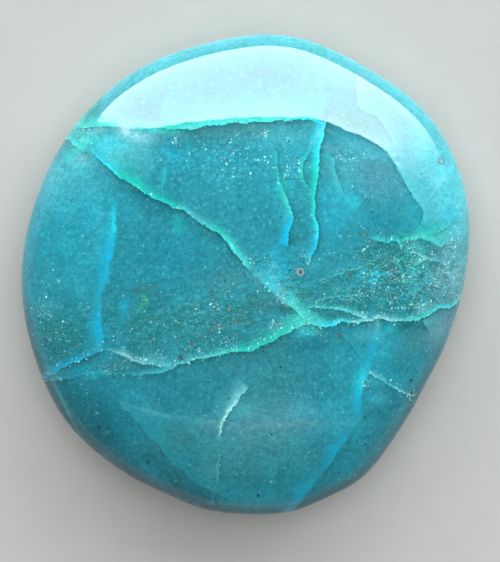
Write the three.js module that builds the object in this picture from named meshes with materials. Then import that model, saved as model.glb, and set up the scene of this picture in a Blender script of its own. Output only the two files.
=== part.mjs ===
// Polished palm stone of chrysocolla in chalcedony: one solid, tumbled and polished all over,
// with a small flat worn on its underside that it rests on.
// Units are millimetres, +Z is up, +Y runs along the stone's longest side, and the origin is
// the middle of the base, at the height of the resting face.
import * as THREE from 'three';
import { mergeVertices } from 'three/addons/utils/BufferGeometryUtils.js';

// Driving dimensions.
const WIDTH = 56;             // along X
const LENGTH = 60;            // along Y
const CROWN_HEIGHT = 9.4;     // top of the dome above the girdle, the stone's widest line
const GIRDLE_HEIGHT = 8.6;    // girdle above the resting face
const BELLY_DEPTH = 9.5;      // how far the lower dome would reach if its flat were not there
const CROWN_FULLNESS = 0.97;  // below 1 the dome is boxier than an ellipse, above 1 pointier
const BELLY_FULLNESS = 0.92;
const SEGMENTS = 20;          // divisions along each edge of the box that the stone is mapped from
const OUTLINE_STEPS = 720;    // samples on the outline curve

// Seen from above, the outline runs through these points, anticlockwise from +X. It is nearly
// round, with its longest reach near +Y and a flattened shoulder on the lower right.
const OUTLINE_POINTS = [
  [27.4, 0.0], [27.5, 10.0], [23.2, 19.5], [15.0, 25.9], [5.2, 29.9], [-5.1, 28.9],
  [-14.5, 25.1], [-21.7, 18.2], [-26.2, 9.5], [-28.0, 0.0], [-26.5, -9.7], [-22.1, -18.6],
  [-14.4, -25.0], [-9.9, -27.1], [-5.1, -29.1], [5.2, -29.5], [10.1, -27.6], [14.5, -25.2],
  [20.4, -17.2], [22.6, -13.0], [24.7, -9.0],
];

// Long, low swells that hand polishing leaves: how many times each rises and falls over
// the stone along X and Y, where it starts, and how high it stands.
const SWELLS = [
  { alongX: 1.1, alongY: 0.7, start: 0.4, height: 0.16 },
  { alongX: -0.8, alongY: 1.4, start: 2.1, height: 0.12 },
];

const stoneMaterial = new THREE.MeshStandardMaterial({
  color: 0x2f97aa,
  roughness: 0.12,
  metalness: 0.0,
});

/** The outline as a list of { angle, radius }, in order of angle from -PI to PI. */
function outlineSamples() {
  const corners = OUTLINE_POINTS.map(([x, y]) => new THREE.Vector3(x, y, 0));
  const curve = new THREE.CatmullRomCurve3(corners, true, 'centripetal');
  const samples = curve.getPoints(OUTLINE_STEPS).map((point) => ({
    angle: Math.atan2(point.y, point.x),
    radius: Math.hypot(point.x, point.y),
  }));
  return samples.sort((first, second) => first.angle - second.angle);
}

/** Distance from the middle of the stone to its outline, in the direction of an angle. */
function outlineRadius(samples, angle) {
  const next = samples.findIndex((sample) => sample.angle >= angle);
  const after = next < 0 ? samples[0] : samples[next];
  const before = next <= 0 ? samples[samples.length - 1] : samples[next - 1];
  const gap = after.angle - before.angle;
  if (gap <= 0) return after.radius;
  return THREE.MathUtils.lerp(before.radius, after.radius, (angle - before.angle) / gap);
}

/** A point of a box from -1 to 1 spread evenly over the unit sphere. */
function boxToSphere(point) {
  const xx = point.x * point.x;
  const yy = point.y * point.y;
  const zz = point.z * point.z;
  return new THREE.Vector3(
    point.x * Math.sqrt(1 - yy / 2 - zz / 2 + (yy * zz) / 3),
    point.y * Math.sqrt(1 - zz / 2 - xx / 2 + (zz * xx) / 3),
    point.z * Math.sqrt(1 - xx / 2 - yy / 2 + (xx * yy) / 3),
  );
}

/** Height of the polishing swells above or below the plain dome, for a place seen from above. */
function swellHeight(x, y) {
  return SWELLS.reduce((sum, swell) => {
    const phase = (swell.alongX * x) / WIDTH + (swell.alongY * y) / LENGTH;
    return sum + swell.height * Math.sin(2 * Math.PI * phase + swell.start);
  }, 0);
}

/** Moves a point of the unit sphere to the stone's surface. */
function sphereToStone(point, samples) {
  const reach = Math.min(1, Math.hypot(point.x, point.y));
  const angle = Math.atan2(point.y, point.x);
  const above = point.z >= 0;
  const fullness = above ? CROWN_FULLNESS : BELLY_FULLNESS;
  const radius = outlineRadius(samples, angle) * Math.pow(reach, fullness);
  const x = radius * Math.cos(angle);
  const y = radius * Math.sin(angle);
  const rise = Math.pow(Math.abs(point.z), fullness);
  const swell = swellHeight(x, y) * point.z * point.z;
  const crown = GIRDLE_HEIGHT + CROWN_HEIGHT * rise + swell;
  const belly = GIRDLE_HEIGHT - BELLY_DEPTH * rise;
  return new THREE.Vector3(x, y, above ? crown : Math.max(0, belly));
}

/** Sizes a closed shape to the stone's width and length, with its base centred on the origin. */
function fitToSize(geometry) {
  geometry.computeBoundingBox();
  const box = geometry.boundingBox;
  geometry.translate(-(box.min.x + box.max.x) / 2, -(box.min.y + box.max.y) / 2, 0);
  geometry.scale(WIDTH / (box.max.x - box.min.x), LENGTH / (box.max.y - box.min.y), 1);
}

/** The whole stone as one closed mesh. */
function stoneGeometry() {
  const box = new THREE.BoxGeometry(2, 2, 2, SEGMENTS, SEGMENTS, SEGMENTS);
  box.deleteAttribute('normal');
  box.deleteAttribute('uv');
  const geometry = mergeVertices(box);
  const samples = outlineSamples();
  const position = geometry.attributes.position;
  const corner = new THREE.Vector3();
  for (let index = 0; index < position.count; index += 1) {
    corner.fromBufferAttribute(position, index);
    const place = sphereToStone(boxToSphere(corner), samples);
    position.setXYZ(index, place.x, place.y, place.z);
  }
  fitToSize(geometry);
  geometry.computeVertexNormals();
  return geometry;
}

const group = new THREE.Group();
const stone = new THREE.Mesh(stoneGeometry(), stoneMaterial);
stone.name = 'polished_stone';
group.add(stone);

export default group;
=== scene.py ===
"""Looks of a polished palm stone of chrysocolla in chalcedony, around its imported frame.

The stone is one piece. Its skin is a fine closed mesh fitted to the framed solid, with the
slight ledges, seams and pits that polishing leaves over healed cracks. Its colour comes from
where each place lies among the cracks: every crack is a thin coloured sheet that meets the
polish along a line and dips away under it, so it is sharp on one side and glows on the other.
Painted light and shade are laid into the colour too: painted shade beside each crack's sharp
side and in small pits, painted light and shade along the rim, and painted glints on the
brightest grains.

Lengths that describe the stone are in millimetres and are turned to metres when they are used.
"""

import logging
import math
from dataclasses import dataclass, field
from enum import Enum

import bpy
import numpy as np
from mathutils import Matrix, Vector, noise


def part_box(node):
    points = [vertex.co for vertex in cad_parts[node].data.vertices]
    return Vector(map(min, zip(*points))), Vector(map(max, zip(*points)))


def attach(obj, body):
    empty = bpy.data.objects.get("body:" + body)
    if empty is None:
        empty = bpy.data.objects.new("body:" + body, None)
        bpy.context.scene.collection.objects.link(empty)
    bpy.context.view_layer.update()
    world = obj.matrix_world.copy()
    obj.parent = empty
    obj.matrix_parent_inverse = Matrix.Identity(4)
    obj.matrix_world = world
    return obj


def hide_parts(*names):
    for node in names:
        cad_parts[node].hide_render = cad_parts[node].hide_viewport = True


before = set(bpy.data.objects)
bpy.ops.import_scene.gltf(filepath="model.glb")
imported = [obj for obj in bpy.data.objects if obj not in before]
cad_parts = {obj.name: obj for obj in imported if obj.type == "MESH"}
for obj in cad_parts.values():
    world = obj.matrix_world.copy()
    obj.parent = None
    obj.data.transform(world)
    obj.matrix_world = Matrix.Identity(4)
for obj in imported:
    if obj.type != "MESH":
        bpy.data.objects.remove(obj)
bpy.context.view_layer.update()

MM = 0.001
PATCH_EDGE = 2.6      # how suddenly a soft patch ends: 2 is gentle, 8 is sharp
PATTERN_SEED = 1      # start of the soft random shifts, so that every run draws the same stone
LEAST_REACH = 2.2     # a vein always shows this far from its line, in mm
GLOW_REACH = 3.0      # how far it shows, in times its glow
NODE = "polished_stone"
BODY = "root"

log = logging.getLogger("palm_stone")

Socket = bpy.types.NodeSocket
Colour = tuple[float, float, float]
Place = tuple[float, float]
Wave = tuple[float, float, float]    # size in mm, reach in mm, and which pattern is read


class Hue(Enum):
    """Colours of the stone, as linear red, green and blue."""

    TEAL = (0.0225, 0.252, 0.315)
    DEEP = (0.007, 0.115, 0.165)
    GREY_TEAL = (0.055, 0.235, 0.265)
    OCEAN = (0.012, 0.230, 0.335)
    SKY = (0.026, 0.360, 0.465)
    PALE_SKY = (0.105, 0.535, 0.610)
    BLUE = (0.006, 0.470, 0.740)
    CYAN = (0.030, 0.730, 0.860)
    MINT = (0.016, 0.600, 0.500)
    LIGHT_MINT = (0.080, 0.690, 0.640)
    GREEN = (0.006, 0.300, 0.230)
    LIME = (0.110, 0.520, 0.200)
    HOLLOW = (0.013, 0.165, 0.165)
    UMBER = (0.055, 0.175, 0.175)
    WHITE = (0.330, 0.770, 0.830)
    # near white: the painted glint on the brightest grains, and the whitest part of a crack
    SPARK = (0.500, 1.000, 0.960)
    LILAC = (0.165, 0.360, 0.440)
    RUST = (0.130, 0.120, 0.120)
    BLUSH = (0.420, 0.400, 0.400)
    STRAW = (0.210, 0.300, 0.150)
    NIGHT = (0.004, 0.045, 0.055)


@dataclass(frozen=True)
class Vein:
    """A healed crack, as a coloured sheet that dips under the polish to the left of its line.

    Attributes:
        name: What the log calls it.
        points: Places on the crown that its line runs through, in mm from the stone's middle.
        hues: Colours along the line, evenly spread from its first point to its last.
        strength: How strongly it shows along the line, evenly spread in the same way.
        glow: How far to the left the sheet still shows through along the line, in mm.
        taper: Lengths over which the two ends fade out, in mm.
        painted_shade: Painted shade: how much darker the stone is just to the right of the line,
            from 0 to 1.
        sparkle: How thickly white grains sit along the line, the brightest of them painted glints,
            from 0 to 1.
        crisp: How sharp its line is, from 0 for a soft streak to 1 for a clean edge.
        dip: Sideways shift of the sheet for each mm of depth, along X and Y.
    """

    name: str
    points: tuple[Place, ...]
    hues: tuple[Hue, ...]
    strength: tuple[float, ...] = (1.0,)
    glow: tuple[float, ...] = (0.6,)
    taper: tuple[float, float] = (1.5, 1.5)
    painted_shade: float = 0.0
    sparkle: float = 0.0
    crisp: float = 1.0
    dip: Place = (0.22, -0.10)

    @property
    def reach(self) -> float:
        """Distance from the line past which the vein no longer shows, in mm."""
        return max(LEAST_REACH, GLOW_REACH * max(self.glow))


@dataclass(frozen=True)
class Cloud:
    """A soft patch of another colour inside the stone.

    Attributes:
        centre: Its middle on the crown, in mm.
        radii: Half its length and half its width, in mm.
        hue: Its colour.
        strength: How much of its colour shows at its middle.
        turn: Angle of its length from +X, in degrees anticlockwise.
    """

    centre: Place
    radii: Place
    hue: Hue
    strength: float
    turn: float = 0.0


@dataclass(frozen=True)
class Patch:
    """A soft oval patch where something in the stone is more than elsewhere.

    Attributes:
        centre: Its middle on the crown, in mm.
        radii: Half its length and half its width, in mm.
        amount: How much of it there is at its middle, from 0 to 1.
        turn: Angle of its length from +X, in degrees anticlockwise.
    """

    centre: Place
    radii: Place
    amount: float
    turn: float = 0.0


@dataclass(frozen=True)
class Fleck:
    """A single visible speck or pit, with a rim of another colour if it has one.

    Attributes:
        place: Its middle on the crown, in mm.
        radius: Its radius in mm.
        core: Colour of its middle.
        rim: Colour of its rim, the same as the core where it has none.
    """

    place: Place
    radius: float
    core: Hue
    rim: Hue


VEINS = (
    Vein("ledge",
         ((-10.9, 18.0), (-9.7, 17.8), (-8.0, 17.7), (-6.0, 17.8), (-4.5, 18.1), (-2.2, 18.4),
          (0.0, 18.5), (2.5, 18.65), (5.0, 18.75), (7.5, 18.9), (9.2, 18.4)),
         (Hue.MINT, Hue.LIGHT_MINT, Hue.LIGHT_MINT, Hue.LIGHT_MINT, Hue.CYAN),
         strength=(0.9, 1.0, 1.0, 1.0, 0.9), glow=(2.2,), taper=(0.6, 0.3), painted_shade=0.15,
         dip=(0.05, 0.35)),
    Vein("ledge_left",
         ((-21.2, 18.4), (-19.5, 18.1), (-17.5, 18.3), (-15.5, 18.2), (-13.5, 17.9),
          (-11.2, 17.9)),
         (Hue.LIGHT_MINT, Hue.LIGHT_MINT, Hue.CYAN), strength=(1.0, 1.0, 0.6, 0.5),
         glow=(1.3, 0.9, 0.7), taper=(0.3, 0.5), dip=(0.05, 0.35)),
    Vein("long_diagonal",
         ((-19.6, 15.8), (-18.9, 15.2), (-17.8, 13.9), (-16.9, 13.2), (-15.6, 12.0),
          (-13.1, 10.4), (-11.3, 9.3), (-8.8, 8.25), (-7.15, 7.5), (-6.0, 6.6), (-3.7, 5.2),
          (-2.0, 3.6), (-1.0, 2.2), (0.0, 1.0), (0.8, 0.3)),
         (Hue.SKY, Hue.CYAN, Hue.MINT, Hue.MINT, Hue.MINT, Hue.PALE_SKY, Hue.MINT, Hue.LIGHT_MINT,
          Hue.LIGHT_MINT),
         strength=(1.0, 1.0, 1.0, 1.0, 0.95, 0.85, 0.9, 1.0, 0.7),
         glow=(0.7, 0.7, 0.9, 0.8, 0.6, 0.6, 0.7, 0.7, 0.5), taper=(0.4, 1.0), painted_shade=0.35,
         sparkle=0.15, dip=(0.35, 0.3)),
    Vein("node_branch",
         ((0.5, 0.5), (1.4, -0.3), (2.3, -1.2), (3.2, -2.0), (4.1, -2.9), (5.0, -3.6),
          (6.0, -4.2), (6.6, -4.8), (7.2, -5.5)),
         (Hue.PALE_SKY, Hue.CYAN, Hue.PALE_SKY, Hue.LIGHT_MINT, Hue.LIGHT_MINT),
         strength=(0.3, 0.45, 0.6, 0.8, 1.0), glow=(0.9, 1.3, 1.1, 0.9), taper=(0.8, 0.2),
         painted_shade=0.3, sparkle=0.8, crisp=0.8, dip=(0.35, 0.3)),
    Vein("lower_seam",
         ((-8.8, -11.3), (-8.0, -10.9), (-7.0, -10.7), (-5.5, -10.4), (-4.0, -10.1), (-2.0, -9.6),
          (0.0, -9.4), (1.4, -9.0), (2.8, -8.4), (4.0, -7.8), (5.0, -7.2), (6.0, -6.6),
          (6.8, -6.2), (7.6, -6.0)),
         (Hue.PALE_SKY, Hue.PALE_SKY, Hue.LIGHT_MINT, Hue.MINT, Hue.MINT, Hue.MINT,
          Hue.LIGHT_MINT),
         strength=(0.8, 0.9, 1.0, 1.0, 1.0, 1.0, 1.0), glow=(0.6, 0.5, 0.6, 0.9, 1.1, 1.2),
         taper=(0.6, 0.2), painted_shade=0.3, sparkle=0.4, dip=(0.1, 0.42)),
    Vein("lower_seam_right",
         ((7.3, -5.8), (9.0, -6.4), (10.6, -6.2), (12.0, -5.8), (13.5, -6.0), (14.0, -5.8),
          (15.4, -5.7), (15.95, -5.4), (16.9, -5.4), (17.8, -5.75), (19.5, -5.7), (21.6, -5.4),
          (22.7, -4.9), (23.5, -4.4), (24.8, -4.2), (25.8, -3.8), (26.4, -3.35), (26.8, -2.9),
          (28.2, -1.6)),
         (Hue.LIGHT_MINT, Hue.CYAN, Hue.LIGHT_MINT, Hue.WHITE, Hue.LIGHT_MINT, Hue.LIGHT_MINT,
          Hue.CYAN, Hue.WHITE),
         strength=(1.0, 0.9, 0.9, 1.0, 0.9, 1.0, 0.9, 0.9), glow=(0.7, 0.4, 0.45, 0.5, 0.3),
         taper=(0.2, 0.3), painted_shade=0.4, sparkle=0.7, dip=(0.1, 0.42)),
    Vein("upper_strand",
         ((7.2, -4.1), (9.0, -4.1), (10.5, -4.2), (12.0, -4.5), (13.4, -4.9), (15.0, -5.5)),
         (Hue.LIGHT_MINT, Hue.LIGHT_MINT, Hue.WHITE), strength=(0.6, 0.7, 0.9), glow=(0.4,),
         taper=(0.6, 0.2), sparkle=0.4),
    Vein("white_strand",
         ((-17.2, -9.3), (-16.3, -9.5), (-15.0, -9.9), (-14.0, -10.4), (-12.8, -10.8),
          (-11.5, -11.0), (-10.0, -11.3), (-8.8, -11.5)),
         (Hue.PALE_SKY, Hue.WHITE, Hue.PALE_SKY, Hue.PALE_SKY),
         strength=(0.3, 0.6, 0.7, 0.8, 0.7), glow=(0.35, 0.6, 0.5), taper=(0.5, 0.4),
         sparkle=0.95, dip=(0.1, 0.42)),
    Vein("left_branch",
         ((-25.6, -13.1), (-23.6, -12.2), (-21.6, -11.1), (-19.4, -10.1), (-17.6, -9.3),
          (-16.8, -9.4)),
         (Hue.SKY, Hue.BLUE, Hue.BLUE, Hue.SKY), strength=(0.8, 0.85, 0.9, 0.7),
         glow=(0.6, 0.55), taper=(0.3, 0.6), painted_shade=0.25, sparkle=0.3),
    Vein("left_branch_low",
         ((-25.4, -13.3), (-23.1, -13.0), (-21.6, -12.7), (-19.4, -12.3), (-17.0, -12.1),
          (-15.0, -12.3), (-13.0, -12.3), (-11.0, -12.1), (-9.5, -11.8), (-8.0, -11.2)),
         (Hue.SKY, Hue.SKY, Hue.SKY, Hue.SKY, Hue.CYAN, Hue.PALE_SKY),
         strength=(0.9, 0.7, 0.35, 0.3, 0.5, 0.8), glow=(0.3, 0.25, 0.4, 0.7), taper=(0.3, 0.5),
         painted_shade=0.3, sparkle=0.5, dip=(0.1, 0.42)),
    Vein("rim_thread",
         ((-23.7, -13.4), (-23.1, -14.8), (-22.3, -16.4), (-21.4, -18.3), (-20.3, -20.3),
          (-18.7, -22.1), (-17.2, -23.2)),
         (Hue.SKY, Hue.MINT, Hue.GREEN, Hue.GREEN), strength=(0.6, 0.6, 0.6, 0.6, 0.4),
         glow=(0.15,), taper=(0.4, 2.5), crisp=0.7),
    Vein("upright",
         ((7.9, 1.2), (8.1, 2.4), (8.6, 3.4), (8.9, 4.8), (8.8, 6.0), (8.5, 7.0), (8.5, 8.2),
          (8.5, 9.6), (8.8, 11.5), (9.0, 13.5), (9.1, 15.4), (9.45, 16.9), (10.0, 18.7)),
         (Hue.CYAN, Hue.BLUE, Hue.CYAN, Hue.MINT, Hue.MINT, Hue.MINT, Hue.CYAN, Hue.CYAN,
          Hue.CYAN),
         strength=(0.5, 1.0, 1.0, 1.0, 1.0, 1.0, 1.0, 1.0, 1.0),
         glow=(0.4, 0.5, 0.5, 0.45, 0.5, 0.8, 1.0, 1.1, 1.2), taper=(1.0, 0.2), painted_shade=0.12,
         sparkle=0.1, dip=(-0.3, 0.05)),
    Vein("upright_branch",
         ((8.5, 10.0), (7.7, 10.5), (7.3, 11.2), (7.0, 12.2), (7.05, 13.1), (7.2, 14.0),
          (7.9, 15.4), (8.0, 16.4)),
         (Hue.MINT,), strength=(0.3, 0.6, 0.6, 0.4), glow=(0.35,), taper=(0.3, 0.8), painted_shade=0.2,
         sparkle=0.2),
    Vein("upright_ghost",
         ((9.4, 19.6), (9.6, 21.5), (9.7, 24.0), (9.8, 26.5), (9.7, 29.0)),
         (Hue.CYAN, Hue.CYAN, Hue.MINT, Hue.GREEN), strength=(0.5, 0.25, 0.2, 0.5, 0.6),
         glow=(0.9, 0.6), taper=(0.2, 0.2), dip=(-0.3, 0.05)),
    Vein("hanging",
         ((5.3, 3.4), (5.3, 4.8), (5.4, 5.7), (5.8, 6.6), (5.7, 7.6), (5.3, 8.8), (4.8, 10.0),
          (4.3, 11.1), (4.0, 12.4), (3.9, 13.6), (3.8, 15.0), (3.2, 16.3)),
         (Hue.BLUE, Hue.BLUE, Hue.LIGHT_MINT, Hue.MINT, Hue.MINT, Hue.MINT),
         strength=(0.9, 1.0, 0.8, 0.5, 0.4, 0.4, 0.2), glow=(0.9, 0.8, 0.4, 0.3, 0.3),
         taper=(0.3, 2.0), painted_shade=0.25, dip=(-0.3, 0.05)),
    Vein("left_blue",
         ((-17.4, -9.6), (-17.5, -8.0), (-17.6, -6.5), (-17.7, -5.0), (-17.7, -3.5),
          (-17.5, -2.2), (-17.2, -1.2), (-16.9, -0.2), (-16.7, 0.8), (-16.4, 1.8), (-16.2, 2.8),
          (-16.0, 3.8), (-15.9, 4.9), (-15.8, 6.0), (-16.0, 7.4), (-15.9, 8.4), (-15.8, 9.8)),
         (Hue.SKY, Hue.BLUE, Hue.SKY, Hue.BLUE, Hue.BLUE, Hue.CYAN, Hue.BLUE),
         strength=(1.0, 1.0, 0.95, 0.85, 0.85, 0.9, 0.9, 0.7),
         glow=(1.5, 1.3, 1.1, 1.1, 1.3, 1.2, 0.5, 0.35), taper=(0.4, 2.5), painted_shade=0.1, crisp=0.5,
         dip=(-0.25, 0.0)),
    Vein("white_crack",
         ((-3.1, -20.0), (-3.0, -19.4), (-2.7, -18.2), (-1.8, -16.7), (-0.6, -15.0),
          (0.5, -13.5)),
         (Hue.WHITE, Hue.SPARK, Hue.WHITE, Hue.PALE_SKY), strength=(0.7, 0.9, 0.8, 0.7),
         glow=(0.25, 0.5, 1.4), taper=(0.4, 0.6), dip=(-0.3, 0.1)),
    Vein("white_crack_low",
         ((-4.0, -28.9), (-3.9, -27.5), (-3.7, -26.2), (-3.3, -25.4), (-3.3, -24.6),
          (-3.4, -23.8), (-3.1, -22.9), (-3.0, -21.4)),
         (Hue.PALE_SKY,), strength=(0.4, 0.4, 0.5, 0.25), glow=(0.18,), taper=(0.4, 1.2)),
    Vein("veil",
         ((-15.6, -15.6), (-15.0, -16.1), (-13.5, -17.9), (-11.9, -19.7), (-10.6, -21.0),
          (-9.3, -23.0), (-7.7, -24.3), (-6.1, -25.6), (-4.0, -26.9), (-1.6, -27.9),
          (1.5, -28.4)),
         (Hue.SKY, Hue.SKY, Hue.SKY, Hue.TEAL), strength=(0.55, 0.5, 0.45, 0.45, 0.4, 0.25),
         glow=(0.7, 1.2, 1.3, 1.0), taper=(0.5, 1.5), painted_shade=0.06, crisp=0.8, dip=(0.25, 0.3)),
    Vein("veil_top",
         ((-2.0, -18.3), (-4.6, -17.7), (-6.2, -17.5), (-9.0, -17.2), (-12.0, -16.5),
          (-15.4, -15.6)),
         (Hue.PALE_SKY,), strength=(0.1, 0.2, 0.35, 0.45), glow=(0.7,), taper=(2.0, 0.3),
         crisp=0.6, dip=(0.25, 0.3)),
    Vein("right_blue",
         ((14.4, -21.0), (14.3, -19.4), (14.2, -17.6), (14.2, -16.0), (14.3, -14.6),
          (14.7, -12.8), (15.4, -11.0), (16.1, -8.9), (16.4, -6.8), (16.6, -5.6)),
         (Hue.SKY, Hue.SKY, Hue.BLUE, Hue.CYAN, Hue.BLUE, Hue.BLUE, Hue.PALE_SKY),
         strength=(0.3, 0.4, 0.8, 0.9, 0.5, 0.45, 0.5), glow=(1.0, 1.0, 1.1, 1.0, 0.9),
         taper=(2.0, 0.4), crisp=0.45, dip=(-0.25, 0.0)),
    Vein("right_blue_low",
         ((5.0, -30.4), (6.3, -28.7), (7.9, -26.6), (9.6, -24.5), (11.2, -22.2), (12.6, -20.0),
          (13.1, -18.6)),
         (Hue.SKY, Hue.BLUE, Hue.SKY, Hue.BLUE, Hue.SKY), strength=(0.8, 0.9, 0.7, 0.8, 0.6),
         glow=(1.1, 1.2, 1.0), taper=(0.6, 1.5), painted_shade=0.25, crisp=0.5, dip=(-0.2, 0.2)),
    Vein("sky_line",
         ((11.7, -7.1), (12.8, -8.4), (13.8, -9.6), (14.7, -10.7)),
         (Hue.SKY,), strength=(0.5, 0.5), glow=(0.25,), taper=(0.6, 0.8)),
    Vein("corner_crack",
         ((15.0, -12.2), (16.2, -12.6), (17.0, -13.0), (17.7, -13.7), (18.5, -14.2),
          (19.3, -14.4), (20.1, -14.9), (21.0, -15.0)),
         (Hue.WHITE, Hue.PALE_SKY, Hue.PALE_SKY, Hue.WHITE, Hue.WHITE),
         strength=(1.0, 0.6, 0.8, 0.7, 0.9), glow=(0.3, 0.18), taper=(0.2, 0.3), sparkle=0.8,
         dip=(0.2, 0.2)),
    Vein("band_top",
         ((14.6, 4.5), (15.7, 4.3), (17.2, 3.9), (18.0, 4.2), (18.6, 4.0), (18.9, 3.5),
          (19.0, 2.9)),
         (Hue.SKY, Hue.LIGHT_MINT, Hue.MINT, Hue.LIGHT_MINT), strength=(0.3, 0.6, 0.7, 0.5),
         glow=(0.7, 0.5, 0.3), taper=(0.6, 0.5), painted_shade=0.35, sparkle=0.15, dip=(0.1, 0.42)),
    Vein("band_top_right",
         ((19.2, 3.5), (19.7, 4.2), (20.8, 4.3), (21.5, 4.4), (22.8, 4.0), (23.8, 3.5),
          (25.0, 3.7), (26.4, 4.6), (28.0, 5.6)),
         (Hue.MINT, Hue.LIGHT_MINT, Hue.LIGHT_MINT, Hue.PALE_SKY, Hue.CYAN),
         strength=(0.5, 0.8, 0.7, 0.5, 0.3, 0.2), glow=(0.4, 0.9, 1.1, 0.9), taper=(0.3, 0.4),
         painted_shade=0.35, sparkle=0.3, crisp=0.7, dip=(0.1, 0.42)),
    Vein("shoulder_curve",
         ((13.6, 25.6), (13.7, 24.0), (13.8, 22.0), (13.9, 20.6), (15.0, 19.9), (16.0, 19.5),
          (17.0, 18.3), (17.8, 16.9), (18.6, 14.8), (19.6, 13.0), (20.2, 11.0)),
         (Hue.WHITE, Hue.PALE_SKY, Hue.PALE_SKY, Hue.SKY), strength=(0.3, 0.5, 0.5, 0.4, 0.25),
         glow=(1.6, 1.4, 0.8), dip=(0.3, 0.2)),
    Vein("shoulder_fold",
         ((9.6, 18.9), (10.4, 18.4), (12.0, 17.8), (14.0, 16.9), (16.0, 16.0), (17.2, 15.1),
          (18.0, 13.9), (19.1, 12.1), (20.2, 10.2), (21.6, 8.3), (21.9, 7.2), (21.5, 5.8)),
         (Hue.LILAC, Hue.LILAC, Hue.PALE_SKY, Hue.PALE_SKY, Hue.PALE_SKY),
         strength=(0.5, 0.3, 0.6, 0.9, 0.9, 0.5), glow=(1.2, 1.2, 1.8, 1.8, 0.8),
         taper=(0.3, 1.0), crisp=0.85),
    Vein("shoulder_line",
         ((22.0, 8.4), (22.8, 9.4), (23.6, 10.4), (24.4, 11.6), (25.2, 12.2)),
         (Hue.PALE_SKY, Hue.WHITE), strength=(0.5, 0.6, 0.3), glow=(0.25,), taper=(0.4, 1.5),
         crisp=0.7),
    Vein("shoulder_loop",
         ((21.8, 5.0), (23.2, 5.1), (24.5, 5.6), (25.4, 6.6), (26.4, 7.8)),
         (Hue.LIGHT_MINT, Hue.PALE_SKY), strength=(0.35, 0.5, 0.25), glow=(0.25,),
         taper=(0.5, 1.2)),
    Vein("blue_cloud_edge",
         ((13.4, 8.6), (12.7, 9.3), (12.0, 10.1), (11.4, 11.4), (11.0, 12.8), (10.6, 14.2),
          (9.9, 15.6)),
         (Hue.SKY, Hue.PALE_SKY, Hue.SKY), strength=(0.3, 0.5, 0.3), glow=(0.7,),
         taper=(1.0, 1.5), dip=(-0.25, 0.0)),
    Vein("mint_thread",
         ((-10.1, 10.2), (-9.9, 11.6), (-9.6, 13.0), (-9.3, 14.2)),
         (Hue.MINT,), strength=(0.4, 0.5, 0.35), glow=(0.25,), taper=(0.6, 1.0)),
    Vein("mid_line",
         ((-15.5, -2.2), (-12.5, -1.2), (-9.0, -0.4), (-6.0, 0.2), (-3.8, 0.6)),
         (Hue.SKY,), strength=(0.15, 0.25, 0.15), glow=(0.4,)),
    Vein("corner_crack_top",
         ((-21.2, 18.4), (-20.2, 19.0), (-19.3, 19.9), (-18.6, 20.7), (-18.4, 21.6),
          (-18.1, 22.6)),
         (Hue.LIGHT_MINT, Hue.GREEN, Hue.MINT), strength=(0.8, 1.0, 0.9), glow=(0.9,),
         taper=(0.2, 0.3), painted_shade=0.2, dip=(0.0, 0.2)),
    Vein("node_dash",
         ((3.2, -6.9), (3.5, -6.2), (3.9, -5.5)),
         (Hue.WHITE,), strength=(0.7,), glow=(0.15,), taper=(0.3, 0.3), sparkle=0.6),
    Vein("band_curl",
         ((18.0, 1.6), (18.8, 1.1), (19.1, 0.2), (19.3, -0.6), (19.9, -1.0), (20.4, -0.3)),
         (Hue.LIGHT_MINT, Hue.MINT), strength=(0.6, 0.3, 0.6, 0.4), glow=(0.25,),
         taper=(0.3, 0.3), painted_shade=0.2, sparkle=0.9, crisp=0.7, dip=(0.1, 0.42)),
    Vein("band_thread",
         ((20.8, 0.9), (21.4, 1.4), (22.1, 1.8), (23.1, 1.7), (24.2, 1.4)),
         (Hue.LIGHT_MINT, Hue.PALE_SKY), strength=(0.6, 0.4, 0.6), glow=(0.3,), taper=(0.3, 0.5),
         sparkle=0.9, dip=(0.1, 0.42)),
    Vein("lilac_edge",
         ((21.8, -5.6), (22.2, -6.2), (22.7, -7.0), (23.0, -8.2)),
         (Hue.LILAC,), strength=(0.7, 0.5, 0.3), glow=(1.4,), taper=(0.2, 1.2), painted_shade=0.2,
         crisp=0.9, dip=(0.1, 0.42)),
    Vein("corner_fringe",
         ((-22.8, 17.2), (-22.1, 16.7), (-21.4, 16.2), (-20.7, 15.7), (-20.1, 15.4),
          (-19.5, 15.9)),
         (Hue.CYAN, Hue.LIGHT_MINT, Hue.MINT), strength=(0.9, 1.0, 0.8), glow=(0.8,),
         taper=(0.3, 0.3), painted_shade=0.3, sparkle=0.5),
    Vein("corner_glow",
         ((-22.0, 13.4), (-21.2, 14.5), (-20.4, 15.2), (-19.6, 15.3), (-18.9, 14.4),
          (-18.3, 13.4)),
         (Hue.CYAN, Hue.LIGHT_MINT, Hue.SKY), strength=(0.5, 0.7, 0.5), glow=(1.1, 1.5, 0.6),
         taper=(0.8, 0.8), crisp=0.5, dip=(0.0, 0.2)),
    Vein("streak_high",
         ((9.0, -0.8), (10.2, -0.5), (11.6, 0.1), (13.6, 0.7), (15.6, 0.9)),
         (Hue.LIGHT_MINT,), strength=(0.35, 0.45, 0.25), glow=(0.12,), taper=(0.6, 1.2)),
    Vein("streak_low",
         ((8.0, -3.6), (9.5, -3.1), (11.6, -2.7), (13.2, -2.6), (15.6, -3.0)),
         (Hue.LIGHT_MINT,), strength=(0.35, 0.45, 0.3), glow=(0.14,), taper=(0.6, 1.2),
         sparkle=0.2),
    Vein("band_ripple",
         ((19.6, 2.9), (21.0, 2.4), (22.1, 1.8), (23.2, 1.6), (24.4, 1.5)),
         (Hue.LIGHT_MINT, Hue.WHITE, Hue.MINT), strength=(0.5, 0.8, 0.4), glow=(0.22,),
         taper=(0.6, 0.8), painted_shade=0.3, sparkle=0.4),
)

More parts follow.
